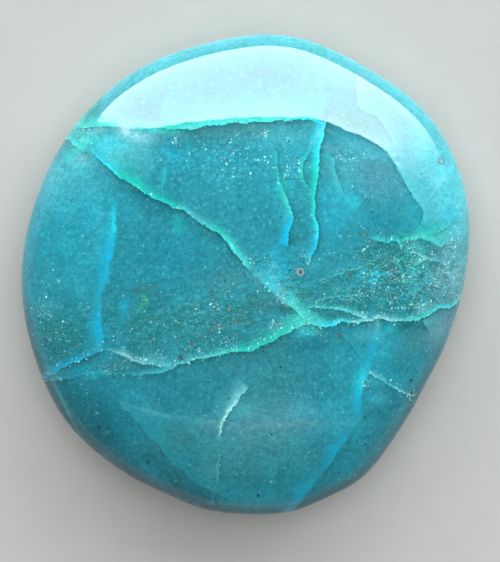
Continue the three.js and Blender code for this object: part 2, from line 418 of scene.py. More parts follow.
CLOUDS = (
    Cloud((-21.5, 8.5), (7.0, 6.5), Hue.SKY, 0.85, 80),
    Cloud((-22.6, 12.6), (3.0, 1.8), Hue.PALE_SKY, 0.6, 60),
    Cloud((-20.6, 14.4), (1.1, 1.1), Hue.CYAN, 0.45),
    Cloud((-22.5, -1.0), (4.5, 3.5), Hue.SKY, 0.3, 80),
    Cloud((-16.0, 15.4), (4.6, 2.6), Hue.PALE_SKY, 0.9, -15),
    Cloud((-14.5, 12.8), (2.8, 1.2), Hue.MINT, 0.35, -35),
    Cloud((-18.4, 14.8), (0.9, 0.9), Hue.BLUE, 0.45),
    Cloud((-19.4, 16.9), (1.6, 0.7), Hue.MINT, 0.65, -50),
    Cloud((-4.0, 14.0), (7.0, 3.0), Hue.SKY, 0.35),
    Cloud((-9.0, 15.6), (0.8, 2.2), Hue.BLUE, 0.3, 10),
    Cloud((-0.5, 17.5), (9.5, 1.3), Hue.GREY_TEAL, 0.8, 3),
    Cloud((-10.5, 7.8), (4.0, 1.4), Hue.DEEP, 0.3, -30),
    Cloud((-8.4, 5.9), (0.8, 1.6), Hue.MINT, 0.4, 10),
    Cloud((-9.5, 1.5), (5.0, 4.0), Hue.OCEAN, 0.5),
    Cloud((-2.6, -0.6), (2.6, 1.6), Hue.GREY_TEAL, 0.5),
    Cloud((5.2, 12.6), (3.0, 4.6), Hue.SKY, 0.75),
    Cloud((4.6, 10.6), (1.0, 1.8), Hue.MINT, 0.4),
    Cloud((8.0, 12.4), (0.5, 1.6), Hue.GREEN, 0.6),
    Cloud((11.2, 7.4), (2.4, 3.2), Hue.SKY, 0.8),
    Cloud((13.0, 8.8), (0.9, 0.6), Hue.CYAN, 0.45, -30),
    Cloud((11.4, 13.0), (2.2, 3.4), Hue.PALE_SKY, 0.25),
    Cloud((15.8, 12.4), (3.2, 3.6), Hue.LILAC, 0.35, 30),
    Cloud((16.8, 6.2), (2.6, 1.0), Hue.OCEAN, 0.5, -5),
    Cloud((23.4, 13.0), (4.0, 4.8), Hue.PALE_SKY, 0.9, 60),
    Cloud((25.2, 9.0), (3.0, 5.0), Hue.PALE_SKY, 0.95, -8),
    Cloud((20.2, 8.0), (2.4, 2.4), Hue.SKY, 0.45),
    Cloud((25.4, 7.2), (1.2, 1.4), Hue.BLUE, 0.45),
    Cloud((23.4, 5.4), (2.6, 1.2), Hue.MINT, 0.6, 5),
    Cloud((25.0, 0.0), (2.4, 4.4), Hue.LILAC, 0.95, -10),
    Cloud((17.2, 2.4), (2.2, 1.8), Hue.HOLLOW, 0.75),
    Cloud((18.2, 0.1), (1.1, 1.2), Hue.HOLLOW, 0.95),
    Cloud((18.8, -1.9), (1.8, 1.0), Hue.HOLLOW, 0.6),
    Cloud((21.8, -2.3), (1.1, 0.8), Hue.HOLLOW, 0.55),
    Cloud((20.2, -4.0), (0.6, 0.5), Hue.HOLLOW, 0.65),
    Cloud((22.2, 3.2), (1.3, 0.5), Hue.HOLLOW, 0.55, -20),
    Cloud((16.2, -0.4), (0.9, 0.6), Hue.CYAN, 0.5),
    Cloud((14.2, 0.3), (0.6, 0.5), Hue.CYAN, 0.45),
    Cloud((20.0, 1.4), (0.8, 2.0), Hue.MINT, 0.45, 5),
    Cloud((21.6, -3.6), (0.7, 0.6), Hue.CYAN, 0.4),
    Cloud((14.0, -3.9), (1.2, 0.9), Hue.HOLLOW, 0.5),
    Cloud((10.6, -5.1), (1.4, 0.5), Hue.HOLLOW, 0.5),
    Cloud((10.4, 5.0), (1.6, 3.0), Hue.OCEAN, 0.3),
    Cloud((3.9, 1.2), (1.9, 2.3), Hue.BLUE, 0.5, 20),
    Cloud((4.0, -1.0), (1.2, 1.2), Hue.CYAN, 0.3, 60),
    Cloud((1.9, -3.2), (1.9, 1.0), Hue.UMBER, 0.65),
    Cloud((5.4, -4.7), (1.1, 0.5), Hue.HOLLOW, 0.75, -35),
    Cloud((7.6, -5.6), (1.6, 0.9), Hue.LIGHT_MINT, 0.85, -20),
    Cloud((8.6, -6.2), (1.2, 0.8), Hue.LIGHT_MINT, 0.95),
    Cloud((7.4, -7.0), (1.2, 0.6), Hue.CYAN, 0.8),
    Cloud((10.3, -6.2), (0.9, 0.5), Hue.BLUE, 0.55),
    Cloud((7.6, -8.8), (3.0, 0.7), Hue.DEEP, 0.5, 5),
    Cloud((-1.5, -5.6), (2.8, 1.6), Hue.UMBER, 0.35, 20),
    Cloud((-12.6, -1.7), (1.9, 0.6), Hue.UMBER, 0.5, 15),
    Cloud((-22.5, -8.0), (3.4, 2.4), Hue.HOLLOW, 0.5),
    Cloud((-10.5, -7.0), (3.6, 2.4), Hue.HOLLOW, 0.3),
    Cloud((-14.8, -4.0), (0.6, 1.6), Hue.BLUE, 0.4, -10),
    Cloud((-15.4, -10.9), (3.6, 0.6), Hue.UMBER, 0.45, -5),
    Cloud((-19.0, -18.0), (5.0, 5.0), Hue.DEEP, 0.55, 40),
    Cloud((-13.5, -22.0), (5.0, 2.4), Hue.DEEP, 0.4, -45),
    Cloud((-8.6, -26.4), (4.5, 1.6), Hue.DEEP, 0.45, -25),
    Cloud((-15.0, -14.6), (4.4, 1.8), Hue.SKY, 0.3, -10),
    Cloud((-14.8, -19.0), (3.6, 1.6), Hue.SKY, 0.3, -50),
    Cloud((-8.6, -20.6), (4.6, 3.2), Hue.GREY_TEAL, 0.3, -35),
    Cloud((-1.8, -15.6), (1.2, 2.4), Hue.SKY, 0.6, -30),
    Cloud((8.0, -16.2), (3.6, 2.0), Hue.SKY, 0.55),
    Cloud((3.0, -13.0), (6.0, 4.0), Hue.GREY_TEAL, 0.35),
    Cloud((0.5, -21.5), (8.0, 3.4), Hue.GREY_TEAL, 0.4),
    Cloud((3.0, -18.4), (9.5, 0.5), Hue.LILAC, 0.35, 2),
    Cloud((11.6, -17.0), (2.6, 4.0), Hue.SKY, 0.5),
    Cloud((17.4, -17.4), (2.6, 4.2), Hue.DEEP, 0.2, -25),
    Cloud((16.8, -8.6), (1.6, 2.4), Hue.SKY, 0.85),
    Cloud((21.0, -8.0), (2.6, 2.0), Hue.GREY_TEAL, 0.7),
    Cloud((24.0, -6.6), (1.6, 2.4), Hue.LILAC, 0.7, -30),
    Cloud((18.6, -6.5), (4.4, 0.5), Hue.DEEP, 0.5),
    Cloud((16.5, -15.0), (1.2, 0.8), Hue.PALE_SKY, 0.25),
    Cloud((-16.8, 18.9), (4.0, 0.7), Hue.LIGHT_MINT, 0.95, -3),
    Cloud((-20.3, 17.4), (1.7, 1.1), Hue.LIGHT_MINT, 0.85, -30),
    Cloud((-21.5, 17.5), (0.5, 0.4), Hue.LIGHT_MINT, 0.9),
    Cloud((-20.8, 16.9), (0.3, 0.3), Hue.HOLLOW, 0.8),
    Cloud((-21.4, 15.4), (1.1, 0.6), Hue.GREY_TEAL, 0.8, -20),
    Cloud((-20.2, 14.2), (1.3, 1.1), Hue.PALE_SKY, 0.9),
    Cloud((-24.3, 10.5), (1.4, 3.6), Hue.PALE_SKY, 0.7, -20),
    Cloud((24.8, 13.4), (2.0, 4.0), Hue.CYAN, 0.4, 35),
    Cloud((3.4, -17.8), (6.5, 2.6), Hue.LILAC, 0.32, 5),
    Cloud((14.1, -10.0), (0.9, 1.6), Hue.SKY, 0.7),
    Cloud((14.2, -6.8), (1.4, 0.7), Hue.SKY, 0.7, -10),
    Cloud((18.8, -13.0), (1.4, 1.2), Hue.SKY, 0.5, -30),
    Cloud((-23.7, -12.3), (1.5, 0.9), Hue.PALE_SKY, 0.85, 20),
    Cloud((14.2, 15.6), (3.4, 1.1), Hue.PALE_SKY, 0.4, -28),
    Cloud((5.0, 16.6), (4.0, 1.7), Hue.PALE_SKY, 0.32),
    Cloud((16.6, -12.0), (1.6, 1.3), Hue.SKY, 0.6),
    Cloud((1.5, -28.0), (3.6, 1.0), Hue.SKY, 0.6),
    Cloud((-11.8, -24.6), (2.6, 1.0), Hue.SKY, 0.5, -40),
    Cloud((-18.2, 15.0), (1.0, 0.9), Hue.SKY, 0.6),
    Cloud((-16.8, 16.2), (2.2, 1.0), Hue.CYAN, 0.4, -5),
    Cloud((-20.0, 12.0), (4.0, 3.0), Hue.PALE_SKY, 0.35, 60),
    Cloud((10.2, 8.2), (1.6, 4.0), Hue.SKY, 0.7),
    Cloud((3.4, 0.0), (0.6, 2.0), Hue.PALE_SKY, 0.8),
    Cloud((4.5, -1.9), (0.6, 0.5), Hue.WHITE, 0.5, -30),
    Cloud((5.6, -2.3), (0.6, 0.5), Hue.CYAN, 0.7),
    Cloud((5.6, -3.2), (0.5, 0.6), Hue.LIGHT_MINT, 0.75),
    Cloud((6.3, -4.1), (0.4, 0.6), Hue.LIGHT_MINT, 0.6, 40),
    Cloud((5.2, -4.5), (0.9, 0.5), Hue.HOLLOW, 0.6, -20),
    Cloud((6.9, -1.7), (0.7, 1.1), Hue.GREEN, 0.35),
    Cloud((18.3, 0.1), (0.7, 1.1), Hue.HOLLOW, 0.95),
    Cloud((20.6, -3.6), (0.6, 0.7), Hue.HOLLOW, 0.75),
    Cloud((14.0, -4.2), (0.35, 0.45), Hue.HOLLOW, 0.8),
    Cloud((22.2, 3.3), (1.0, 0.7), Hue.HOLLOW, 0.65, -20),
    Cloud((16.1, -0.3), (0.9, 0.45), Hue.CYAN, 0.75),
    Cloud((13.9, 0.3), (0.7, 0.4), Hue.SKY, 0.6, -20),
    Cloud((19.5, -2.0), (0.5, 0.4), Hue.SKY, 0.8),
    Cloud((11.8, -5.2), (1.6, 0.35), Hue.HOLLOW, 0.5, -8),
    Cloud((17.5, -6.5), (0.9, 0.7), Hue.CYAN, 0.55),
    Cloud((26.0, 4.8), (1.6, 1.2), Hue.PALE_SKY, 0.8, 20),
    Cloud((25.8, 1.4), (1.6, 1.8), Hue.PALE_SKY, 0.95),
    Cloud((24.0, -0.8), (1.8, 1.6), Hue.LILAC, 0.95),
    Cloud((21.4, 2.6), (1.6, 1.4), Hue.PALE_SKY, 0.45),
    Cloud((21.6, -1.4), (2.2, 1.2), Hue.PALE_SKY, 0.4),
    Cloud((-13.2, -7.2), (4.0, 2.4), Hue.DEEP, 0.2),
    Cloud((20.4, 3.2), (1.1, 0.9), Hue.PALE_SKY, 0.6),
    Cloud((21.0, -2.4), (0.9, 0.5), Hue.LIGHT_MINT, 0.6),
    Cloud((1.8, -0.6), (1.2, 0.9), Hue.PALE_SKY, 0.5, -40),
    Cloud((-1.6, -4.4), (2.0, 1.2), Hue.HOLLOW, 0.55),
    Cloud((-14.2, 13.5), (1.8, 1.5), Hue.HOLLOW, 0.4),
    Cloud((-13.0, 17.1), (2.3, 0.9), Hue.WHITE, 0.5, -8),
    Cloud((-10.4, 17.9), (2.4, 0.6), Hue.LIGHT_MINT, 0.8, -4),
    Cloud((-12.0, -4.8), (2.2, 1.4), Hue.HOLLOW, 0.65),
    Cloud((-7.0, -6.0), (1.6, 1.0), Hue.HOLLOW, 0.55),
    Cloud((6.5, -3.9), (0.9, 0.7), Hue.NIGHT, 0.4),
    Cloud((2.4, -3.1), (1.2, 0.9), Hue.HOLLOW, 0.4),
    Cloud((15.1, -2.6), (1.1, 0.8), Hue.HOLLOW, 0.65),
    Cloud((18.4, 1.4), (1.3, 1.3), Hue.HOLLOW, 0.6),
    Cloud((16.8, -3.0), (1.0, 0.5), Hue.HOLLOW, 0.7),
    Cloud((12.8, -3.6), (1.0, 0.5), Hue.GREEN, 0.5),
    Cloud((19.1, 4.6), (0.9, 0.5), Hue.GREEN, 0.6),
    Cloud((22.6, 6.2), (2.2, 0.8), Hue.TEAL, 0.45),
    Cloud((10.6, 13.0), (1.3, 1.6), Hue.GREY_TEAL, 0.5),
    Cloud((13.0, 6.1), (1.4, 1.0), Hue.TEAL, 0.45),
    Cloud((-21.9, -8.4), (0.9, 1.8), Hue.HOLLOW, 0.45),
    Cloud((-13.6, -9.4), (0.8, 1.2), Hue.HOLLOW, 0.6),
    Cloud((-16.2, -9.6), (0.9, 0.8), Hue.HOLLOW, 0.4),
    Cloud((20.9, 1.4), (1.0, 2.0), Hue.LIGHT_MINT, 0.45),
    Cloud((22.0, -4.1), (1.1, 0.6), Hue.WHITE, 0.6, 15),
    Cloud((-10.7, -10.4), (1.6, 0.7), Hue.PALE_SKY, 0.55, -14),
    Cloud((-19.0, -11.2), (4.4, 0.6), Hue.SKY, 0.6, 22),
    Cloud((-11.6, -18.0), (1.3, 2.6), Hue.SKY, 0.4, 30),
    Cloud((-7.2, -22.4), (1.5, 1.2), Hue.SKY, 0.35),
    Cloud((12.0, -24.3), (1.6, 1.2), Hue.SKY, 0.55, 30),
    Cloud((2.0, -27.6), (6.0, 1.4), Hue.SKY, 0.6, 3),
    Cloud((15.7, -14.8), (0.9, 0.7), Hue.SKY, 0.55),
    Cloud((25.2, 0.6), (1.8, 2.8), Hue.LILAC, 0.7),
    Cloud((18.1, 0.1), (0.9, 1.0), Hue.HOLLOW, 0.8),
    Cloud((16.2, -0.2), (0.8, 0.5), Hue.CYAN, 0.6),
    Cloud((-2.0, -20.6), (9.0, 4.4), Hue.PALE_SKY, 0.12),
    Cloud((-20.5, 1.5), (3.6, 5.0), Hue.SKY, 0.35),
    Cloud((18.1, 0.3), (0.9, 0.9), Hue.NIGHT, 0.65),
    Cloud((18.3, 2.3), (1.0, 0.8), Hue.NIGHT, 0.45),
    Cloud((22.8, 2.7), (0.9, 0.7), Hue.HOLLOW, 0.55),
    Cloud((6.6, -6.3), (1.8, 0.9), Hue.LIGHT_MINT, 0.5, -30),
    Cloud((12.8, 18.4), (3.4, 1.1), Hue.HOLLOW, 0.6, -25),
    Cloud((-18.3, 21.2), (2.4, 0.8), Hue.PALE_SKY, 0.6, 45),
    Cloud((-24.2, -12.4), (1.0, 0.8), Hue.PALE_SKY, 0.5),
    Cloud((1.6, -28.4), (4.6, 0.9), Hue.PALE_SKY, 0.3, 3),
    Cloud((-5.0, 15.8), (1.8, 1.2), Hue.HOLLOW, 0.3),
    Cloud((-25.2, -8.8), (1.2, 2.0), Hue.HOLLOW, 0.5),
    Cloud((26.4, -3.0), (1.0, 0.8), Hue.HOLLOW, 0.4),
    Cloud((-20.2, 14.6), (1.3, 1.0), Hue.WHITE, 0.4),
    Cloud((-18.4, 18.0), (1.2, 0.7), Hue.WHITE, 0.55),
    Cloud((21.6, -4.0), (0.7, 0.5), Hue.WHITE, 0.55),
    Cloud((14.0, -0.4), (0.9, 0.7), Hue.SKY, 0.6),
    Cloud((8.6, 1.7), (0.9, 1.2), Hue.SKY, 0.55),
    Cloud((6.8, -1.1), (1.0, 0.7), Hue.SKY, 0.4),
    Cloud((5.3, 5.8), (1.4, 1.0), Hue.SKY, 0.4),
    Cloud((-9.8, 12.2), (0.9, 1.9), Hue.SKY, 0.6),
    Cloud((-4.6, -24.4), (1.8, 1.0), Hue.PALE_SKY, 0.25),
    Cloud((8.6, -25.8), (2.0, 0.9), Hue.SKY, 0.5, 30),
    Cloud((-12.0, -16.8), (1.8, 0.9), Hue.PALE_SKY, 0.25),
    Cloud((7.6, -16.8), (2.2, 1.2), Hue.PALE_SKY, 0.25),
    Cloud((12.8, -10.6), (1.6, 2.0), Hue.SKY, 0.5),
    Cloud((-0.6, -16.4), (2.0, 1.3), Hue.PALE_SKY, 0.35),
    Cloud((15.2, -7.3), (2.2, 0.8), Hue.PALE_SKY, 0.35),
    Cloud((-18.6, -12.3), (1.8, 0.5), Hue.CYAN, 0.4, 5),
    Cloud((15.7, -0.2), (1.1, 0.8), Hue.CYAN, 0.6),
    Cloud((18.2, 0.2), (1.0, 1.0), Hue.HOLLOW, 0.8),
    Cloud((6.4, 17.4), (1.0, 1.3), Hue.HOLLOW, 0.35),
    Cloud((-24.2, -12.8), (1.3, 0.9), Hue.PALE_SKY, 0.5, 20),
    Cloud((-25.0, -4.2), (1.3, 1.0), Hue.PALE_SKY, 0.4),
    Cloud((24.0, -0.2), (2.0, 1.2), Hue.WHITE, 0.25),
    Cloud((-13.3, -10.1), (0.9, 0.7), Hue.NIGHT, 0.3),
    Cloud((-17.0, -7.8), (0.7, 1.8), Hue.BLUE, 0.4),
)

# Patches where white grains lie thick, the brightest of them painted glints.
GRAINS_AND_GLINTS = (
    Patch((-20.0, 17.2), (1.6, 1.0), 0.6, -50),
    Patch((-25.0, -4.6), (1.0, 1.2), 0.7),
    Patch((-23.4, -8.0), (2.2, 3.4), 0.22),
    Patch((-19.6, -4.4), (1.2, 1.0), 0.4),
    Patch((-19.4, -9.6), (0.8, 0.6), 0.6),
    Patch((-19.5, -13.2), (0.4, 0.4), 0.85),
    Patch((-15.2, -9.4), (1.6, 0.9), 0.5, -10),
    Patch((-15.6, -11.4), (2.2, 0.9), 0.4),
    Patch((-14.4, -7.0), (1.0, 0.8), 0.35, 30),
    Patch((-7.3, -6.3), (0.4, 1.3), 0.45, -20),
    Patch((-5.3, -3.9), (1.2, 0.6), 0.85, 15),
    Patch((-3.1, -2.9), (0.6, 0.8), 0.75, -40),
    Patch((-1.2, 0.1), (0.35, 0.6), 0.85, 20),
    Patch((-4.5, -9.8), (3.0, 0.9), 0.5, 8),
    Patch((-2.6, -8.6), (1.4, 0.6), 0.5, 8),
    Patch((-6.5, -7.0), (4.5, 1.8), 0.15),
    Patch((1.6, 2.2), (1.6, 0.6), 0.4, -5),
    Patch((3.7, -6.6), (0.3, 1.3), 0.95, -25),
    Patch((4.2, -2.2), (2.2, 1.2), 0.45, -35),
    Patch((7.8, 1.4), (0.45, 0.8), 0.9, 20),
    Patch((10.9, 2.2), (0.5, 0.25), 1.0),
    Patch((8.8, -6.8), (1.4, 0.8), 0.7),
    Patch((13.8, -2.4), (1.4, 0.5), 0.75),
    Patch((16.4, -3.5), (0.6, 0.3), 0.95),
    Patch((13.6, -5.4), (1.2, 0.4), 0.8),
    Patch((20.0, 1.6), (1.0, 2.4), 0.8, 12),
    Patch((21.2, -4.4), (1.0, 0.7), 1.0, 20),
    Patch((19.0, -4.2), (1.4, 0.5), 0.6),
    Patch((25.3, 2.3), (0.8, 0.6), 1.0),
    Patch((26.2, 4.6), (0.9, 1.6), 0.7),
    Patch((25.0, -1.5), (2.0, 2.6), 0.5),
    Patch((15.4, -12.3), (0.6, 0.5), 0.95),
    Patch((20.5, -15.0), (0.7, 0.4), 0.95, -20),
    Patch((17.0, -0.4), (9.0, 3.4), 0.13),
    Patch((0.0, 14.0), (7.0, 3.5), 0.14),
    Patch((5.6, 12.4), (0.9, 0.9), 0.35),
    Patch((5.0, 15.8), (0.4, 0.6), 0.6),
    Patch((2.6, 16.7), (0.4, 0.7), 0.6, 40),
    Patch((4.8, 17.8), (0.6, 0.3), 0.3),
    Patch((2.6, 13.4), (0.4, 0.3), 0.5),
    Patch((-3.2, 16.2), (0.8, 0.4), 0.5, -30),
    Patch((-7.8, 17.2), (0.5, 0.6), 0.6),
    Patch((12.4, 14.6), (1.8, 1.0), 0.3, -30),
    Patch((19.7, 0.0), (0.7, 1.3), 0.75),
    Patch((20.5, 2.8), (0.9, 0.5), 0.75),
    Patch((25.0, 0.0), (1.5, 3.0), 0.4),
    Patch((25.5, 2.3), (0.5, 0.4), 0.8),
    Patch((26.5, 1.1), (0.5, 0.5), 0.7),
    Patch((21.5, -4.5), (0.8, 0.5), 0.8),
    Patch((-20.4, 17.2), (1.4, 0.9), 0.55, -30),
    Patch((20.0, 3.4), (0.8, 0.7), 0.85),
    Patch((25.8, 3.2), (1.3, 1.0), 0.55),
    Patch((9.9, 2.2), (0.6, 0.3), 0.7),
    Patch((14.0, -2.0), (0.7, 0.4), 0.7),
    Patch((16.1, -3.3), (0.4, 0.3), 0.8),
    Patch((5.0, -1.8), (0.8, 1.8), 0.45, 40),
    Patch((8.6, -6.6), (1.2, 0.5), 0.55),
    Patch((-25.0, -4.6), (1.4, 1.8), 0.6),
    Patch((-24.6, -1.0), (1.2, 1.6), 0.25),
    Patch((-12.0, -10.2), (3.0, 0.8), 0.5, -14),
    Patch((-7.0, -9.6), (2.0, 0.7), 0.55, 12),
)

COTTON = (
    Patch((-4.0, 14.0), (9.0, 4.6), 1.0, -10),
    Patch((2.0, 9.0), (5.5, 5.0), 0.9),
    Patch((14.0, 11.0), (5.5, 4.5), 0.7, -20),
    Patch((-20.0, 6.0), (4.5, 8.0), 0.6, 10),
    Patch((-10.0, 1.0), (6.0, 4.0), 0.45),
    Patch((6.0, -12.0), (7.5, 3.6), 0.6),
    Patch((0.5, -21.0), (8.5, 5.0), 0.35, 10),
)

OPENINGS = (
    Patch((5.6, -2.6), (2.6, 3.4), 0.85, 40),
    Patch((3.0, -7.6), (5.5, 1.4), 0.6, 18),
    Patch((8.2, -6.4), (2.0, 1.0), 0.8),
    Patch((25.2, 0.0), (2.0, 4.0), 0.45),
    Patch((19.2, -0.4), (7.4, 5.2), 1.0),
    Patch((12.0, -2.4), (5.0, 3.2), 0.75),
    Patch((-4.5, -5.2), (12.0, 4.6), 0.6, 7),
    Patch((-20.5, -6.8), (7.0, 3.8), 0.5),
    Patch((3.0, 0.0), (4.0, 3.4), 0.45),
    Patch((-21.0, 16.6), (2.6, 2.0), 0.6, -50),
    Patch((5.6, 12.4), (2.4, 3.4), 0.35),
)

FLECKS = (
    Fleck((24.2, 14.0), 0.42, Hue.PALE_SKY, Hue.RUST),
    Fleck((6.7, 0.3), 0.40, Hue.NIGHT, Hue.BLUSH),
    Fleck((11.5, -7.5), 0.30, Hue.RUST, Hue.HOLLOW),
    Fleck((-4.4, -2.2), 0.22, Hue.RUST, Hue.UMBER),
    Fleck((-4.9, 4.9), 0.16, Hue.RUST, Hue.UMBER),
    Fleck((-3.3, 0.1), 0.16, Hue.RUST, Hue.UMBER),
    Fleck((-6.5, -8.6), 0.26, Hue.RUST, Hue.UMBER),
    Fleck((-7.9, -10.2), 0.28, Hue.RUST, Hue.NIGHT),
    Fleck((-0.8, -5.7), 0.30, Hue.RUST, Hue.UMBER),
    Fleck((-2.0, -4.3), 0.22, Hue.BLUSH, Hue.UMBER),
    Fleck((-3.2, -6.2), 0.24, Hue.BLUSH, Hue.UMBER),
    Fleck((-4.4, -6.8), 0.24, Hue.RUST, Hue.UMBER),
    Fleck((12.8, 0.0), 0.22, Hue.RUST, Hue.HOLLOW),
    Fleck((14.5, 4.8), 0.26, Hue.STRAW, Hue.UMBER),
    Fleck((4.3, 6.9), 0.13, Hue.NIGHT, Hue.DEEP),
    Fleck((5.4, 0.5), 0.14, Hue.NIGHT, Hue.DEEP),
    Fleck((-2.5, -0.8), 0.17, Hue.NIGHT, Hue.UMBER),
    Fleck((-18.0, -18.9), 0.22, Hue.NIGHT, Hue.DEEP),
    Fleck((-12.1, -23.2), 0.20, Hue.NIGHT, Hue.DEEP),
    Fleck((1.6, -27.3), 0.20, Hue.NIGHT, Hue.DEEP),
    Fleck((3.2, -19.6), 0.12, Hue.NIGHT, Hue.DEEP),
    Fleck((4.3, -11.3), 0.14, Hue.NIGHT, Hue.DEEP),
    Fleck((14.7, -17.5), 0.13, Hue.NIGHT, Hue.DEEP),
    Fleck((15.1, -20.0), 0.13, Hue.NIGHT, Hue.DEEP),
    Fleck((14.8, -21.0), 0.12, Hue.NIGHT, Hue.DEEP),
    Fleck((20.4, -13.1), 0.18, Hue.NIGHT, Hue.DEEP),
    Fleck((20.6, -14.7), 0.22, Hue.NIGHT, Hue.DEEP),
    Fleck((-16.5, -2.1), 0.16, Hue.NIGHT, Hue.UMBER),
    Fleck((-12.4, -2.8), 0.20, Hue.HOLLOW, Hue.LIME),
    Fleck((-12.0, -3.1), 0.17, Hue.LIME, Hue.LIME),
    Fleck((-12.7, -3.6), 0.18, Hue.LIME, Hue.HOLLOW),
    Fleck((-12.1, -3.8), 0.14, Hue.LIME, Hue.HOLLOW),
    Fleck((-12.9, -4.3), 0.15, Hue.LIME, Hue.GREEN),
    Fleck((-13.3, -4.7), 0.12, Hue.LIME, Hue.GREEN),
    Fleck((-14.2, -4.9), 0.10, Hue.LIME, Hue.GREEN),
)


@dataclass(frozen=True)
class PaintedRimLight:
    """A stretch of the rim with painted light or painted shade: paler where it stands in for light
    glowing through the thin stone, deeper where it stands in for shade at the lower rim.

    Attributes:
        middle: Direction of its middle from the stone's middle, in degrees from +X.
        half: Angle from there at which it has faded out, in degrees.
        width: How far in from the rim it reaches, in mm.
        hue: Its colour.
        strength: How much of its colour shows at the rim.
    """

    middle: float
    half: float
    width: float
    hue: Hue
    strength: float


# Painted rim light and shade: the paler stretches stand in for light glowing through the thin rim,
# the two deep ones low down for shade.
PAINTED_RIM_LIGHTS = (
    PaintedRimLight(85, 78, 2.3, Hue.PALE_SKY, 1.0),
    PaintedRimLight(20, 40, 2.0, Hue.PALE_SKY, 0.35),
    PaintedRimLight(182, 34, 2.2, Hue.SKY, 0.80),
    PaintedRimLight(230, 58, 1.3, Hue.DEEP, 1.0),
    PaintedRimLight(306, 46, 1.2, Hue.DEEP, 0.95),
)


@dataclass(frozen=True)
class Relief:
    """The low ridge or groove that polishing leaves along a vein harder or softer than the rest.

    Attributes:
        vein: Name of the vein that it follows.
        height: Height of its crest in mm, below 0 for a groove.
        right: Distance over which it falls away on the right, in mm.
        left: Distance over which it falls away on the left, in mm.
    """

    vein: str
    height: float
    right: float
    left: float


RELIEFS = (
    Relief("long_diagonal", -0.030, 0.30, 0.30),
    Relief("lower_seam", -0.035, 0.30, 0.30),
    Relief("lower_seam_right", -0.060, 0.35, 0.35),
    Relief("left_branch_low", -0.025, 0.30, 0.30),
    Relief("white_crack", -0.040, 0.25, 0.25),
    Relief("corner_crack", -0.050, 0.30, 0.30),
    Relief("corner_crack_top", -0.050, 0.40, 0.40),
)


@dataclass(frozen=True)
class Fold:
    """A long, low fold of the polished surface, which bends what the polish shows.

    Attributes:
        points: Places that its crest runs through, in mm.
        heights: Height of the crest in mm, spread along it.
        right: Distance over which it falls away on the right, in mm.
        left: Distance over which it falls away on the left, in mm.
        taper: Length over which it rises at its start and dies out at its end, in mm.
    """

    points: tuple[Place, ...]
    heights: tuple[float, ...]
    right: float
    left: float
    taper: Place


FOLDS = (
    Fold(((-22.6, 18.0), (-20.0, 18.5), (-17.8, 18.6), (-16.5, 18.5)),
         (0.05, 0.05, 0.03), 1.2, 1.0, (0.5, 2.0)),
    Fold(((-14.6, 18.1), (-11.6, 18.0), (-9.6, 18.3), (-8.0, 18.55), (-6.0, 18.75), (-4.5, 18.95),
          (-2.2, 19.15), (0.0, 19.2), (2.5, 19.25), (5.0, 19.25), (7.5, 19.3), (8.7, 19.2),
          (9.6, 18.9), (10.6, 18.5), (12.0, 17.9), (14.0, 17.0), (16.0, 16.1), (17.3, 15.2),
          (18.1, 13.9), (19.2, 12.1), (20.3, 10.2), (21.6, 8.4)),
         (0.16, 0.24, 0.24, 0.24, 0.25, 0.26, 0.30, 0.34, 0.30, 0.22, 0.12), 2.4, 1.5,
         (4.6, 3.0)),
)


def smoothstep(values: np.ndarray, low: float, high: float) -> np.ndarray:
    """Eases values from 0 at low to 1 at high."""
    share = np.clip((values - low) / (high - low), 0.0, 1.0)
    return share * share * (3.0 - 2.0 * share)


def spline(points: tuple[Place, ...], spacing: float) -> np.ndarray:
    """Samples a smooth curve that runs through a row of places.

    Args:
        points: Places that it runs through, in order.
        spacing: Distance between samples, about.

    Returns:
        The samples, one row each.
    """
    given = np.array(points, float)
    knots = np.vstack([2 * given[0] - given[1], given, 2 * given[-1] - given[-2]])
    runs = []
    for index in range(1, len(knots) - 2):
        a, b, c, d = knots[index - 1:index + 3]
        count = max(2, round(float(np.linalg.norm(c - b)) / spacing))
        t = np.arange(count)[:, None] / count
        bend = (2 * a - 5 * b + 4 * c - d) * t**2 + (3 * b - a - 3 * c + d) * t**3
        runs.append(0.5 * (2 * b + (c - a) * t + bend))
    runs.append(given[-1:])
    return np.vstack(runs)


def measure_to_line(places: np.ndarray, line: np.ndarray) -> tuple[np.ndarray, np.ndarray]:
    """Measures places against a line.

    Args:
        places: The places, one row each.
        line: Samples along the line, in order.

    Returns:
        Distance of each place from the line, above 0 on its left, and how far along the line
        its nearest point is, as a share of the line's length.
    """
    step = np.diff(line, axis=0)
    length = np.linalg.norm(step, axis=1)
    offset = places[:, None, :] - line[None, :-1]
    share = np.clip((offset * step).sum(axis=2) / length**2, 0.0, 1.0)
    gap = offset - share[..., None] * step
    distance = np.linalg.norm(gap, axis=2)
    nearest = distance.argmin(axis=1)
    rows = np.arange(len(places))
    gap, step = gap[rows, nearest], step[nearest]
    left = np.sign(step[:, 0] * gap[:, 1] - step[:, 1] * gap[:, 0])
    starts = np.concatenate([[0.0], np.cumsum(length)])
    along = starts[nearest] + share[rows, nearest] * length[nearest]
    return distance[rows, nearest] * left, along / starts[-1]


def spread(values: tuple, along: np.ndarray) -> np.ndarray:
    """Reads a row of evenly spread values at shares of its length."""
    table = np.array(values, float)
    ticks = np.linspace(0.0, 1.0, len(table))
    if table.ndim == 1:
        return np.interp(along, ticks, table)
    return np.column_stack([np.interp(along, ticks, column) for column in table.T])


def wander(places: np.ndarray, size: float, reach: float, seed: float) -> np.ndarray:
    """Soft random shifts that vary smoothly over the stone.

    Args:
        places: Places on the stone in mm, one row of three each.
        size: Size of the waves in mm.
        reach: Largest shift in mm, about.
        seed: Which of the endless patterns is read.

    Returns:
        A shift of three numbers for each place.
    """
    start = Vector((seed, 1.7 * seed, -0.6 * seed))
    shifts = [noise.noise_vector(Vector(place) / size + start) for place in places]
    return np.array(shifts, float) * reach


def wander_all(places: np.ndarray, waves: tuple[Wave, ...]) -> np.ndarray:
    """Adds up the soft random shifts of several waves."""
    return sum(wander(places, *wave) for wave in waves)


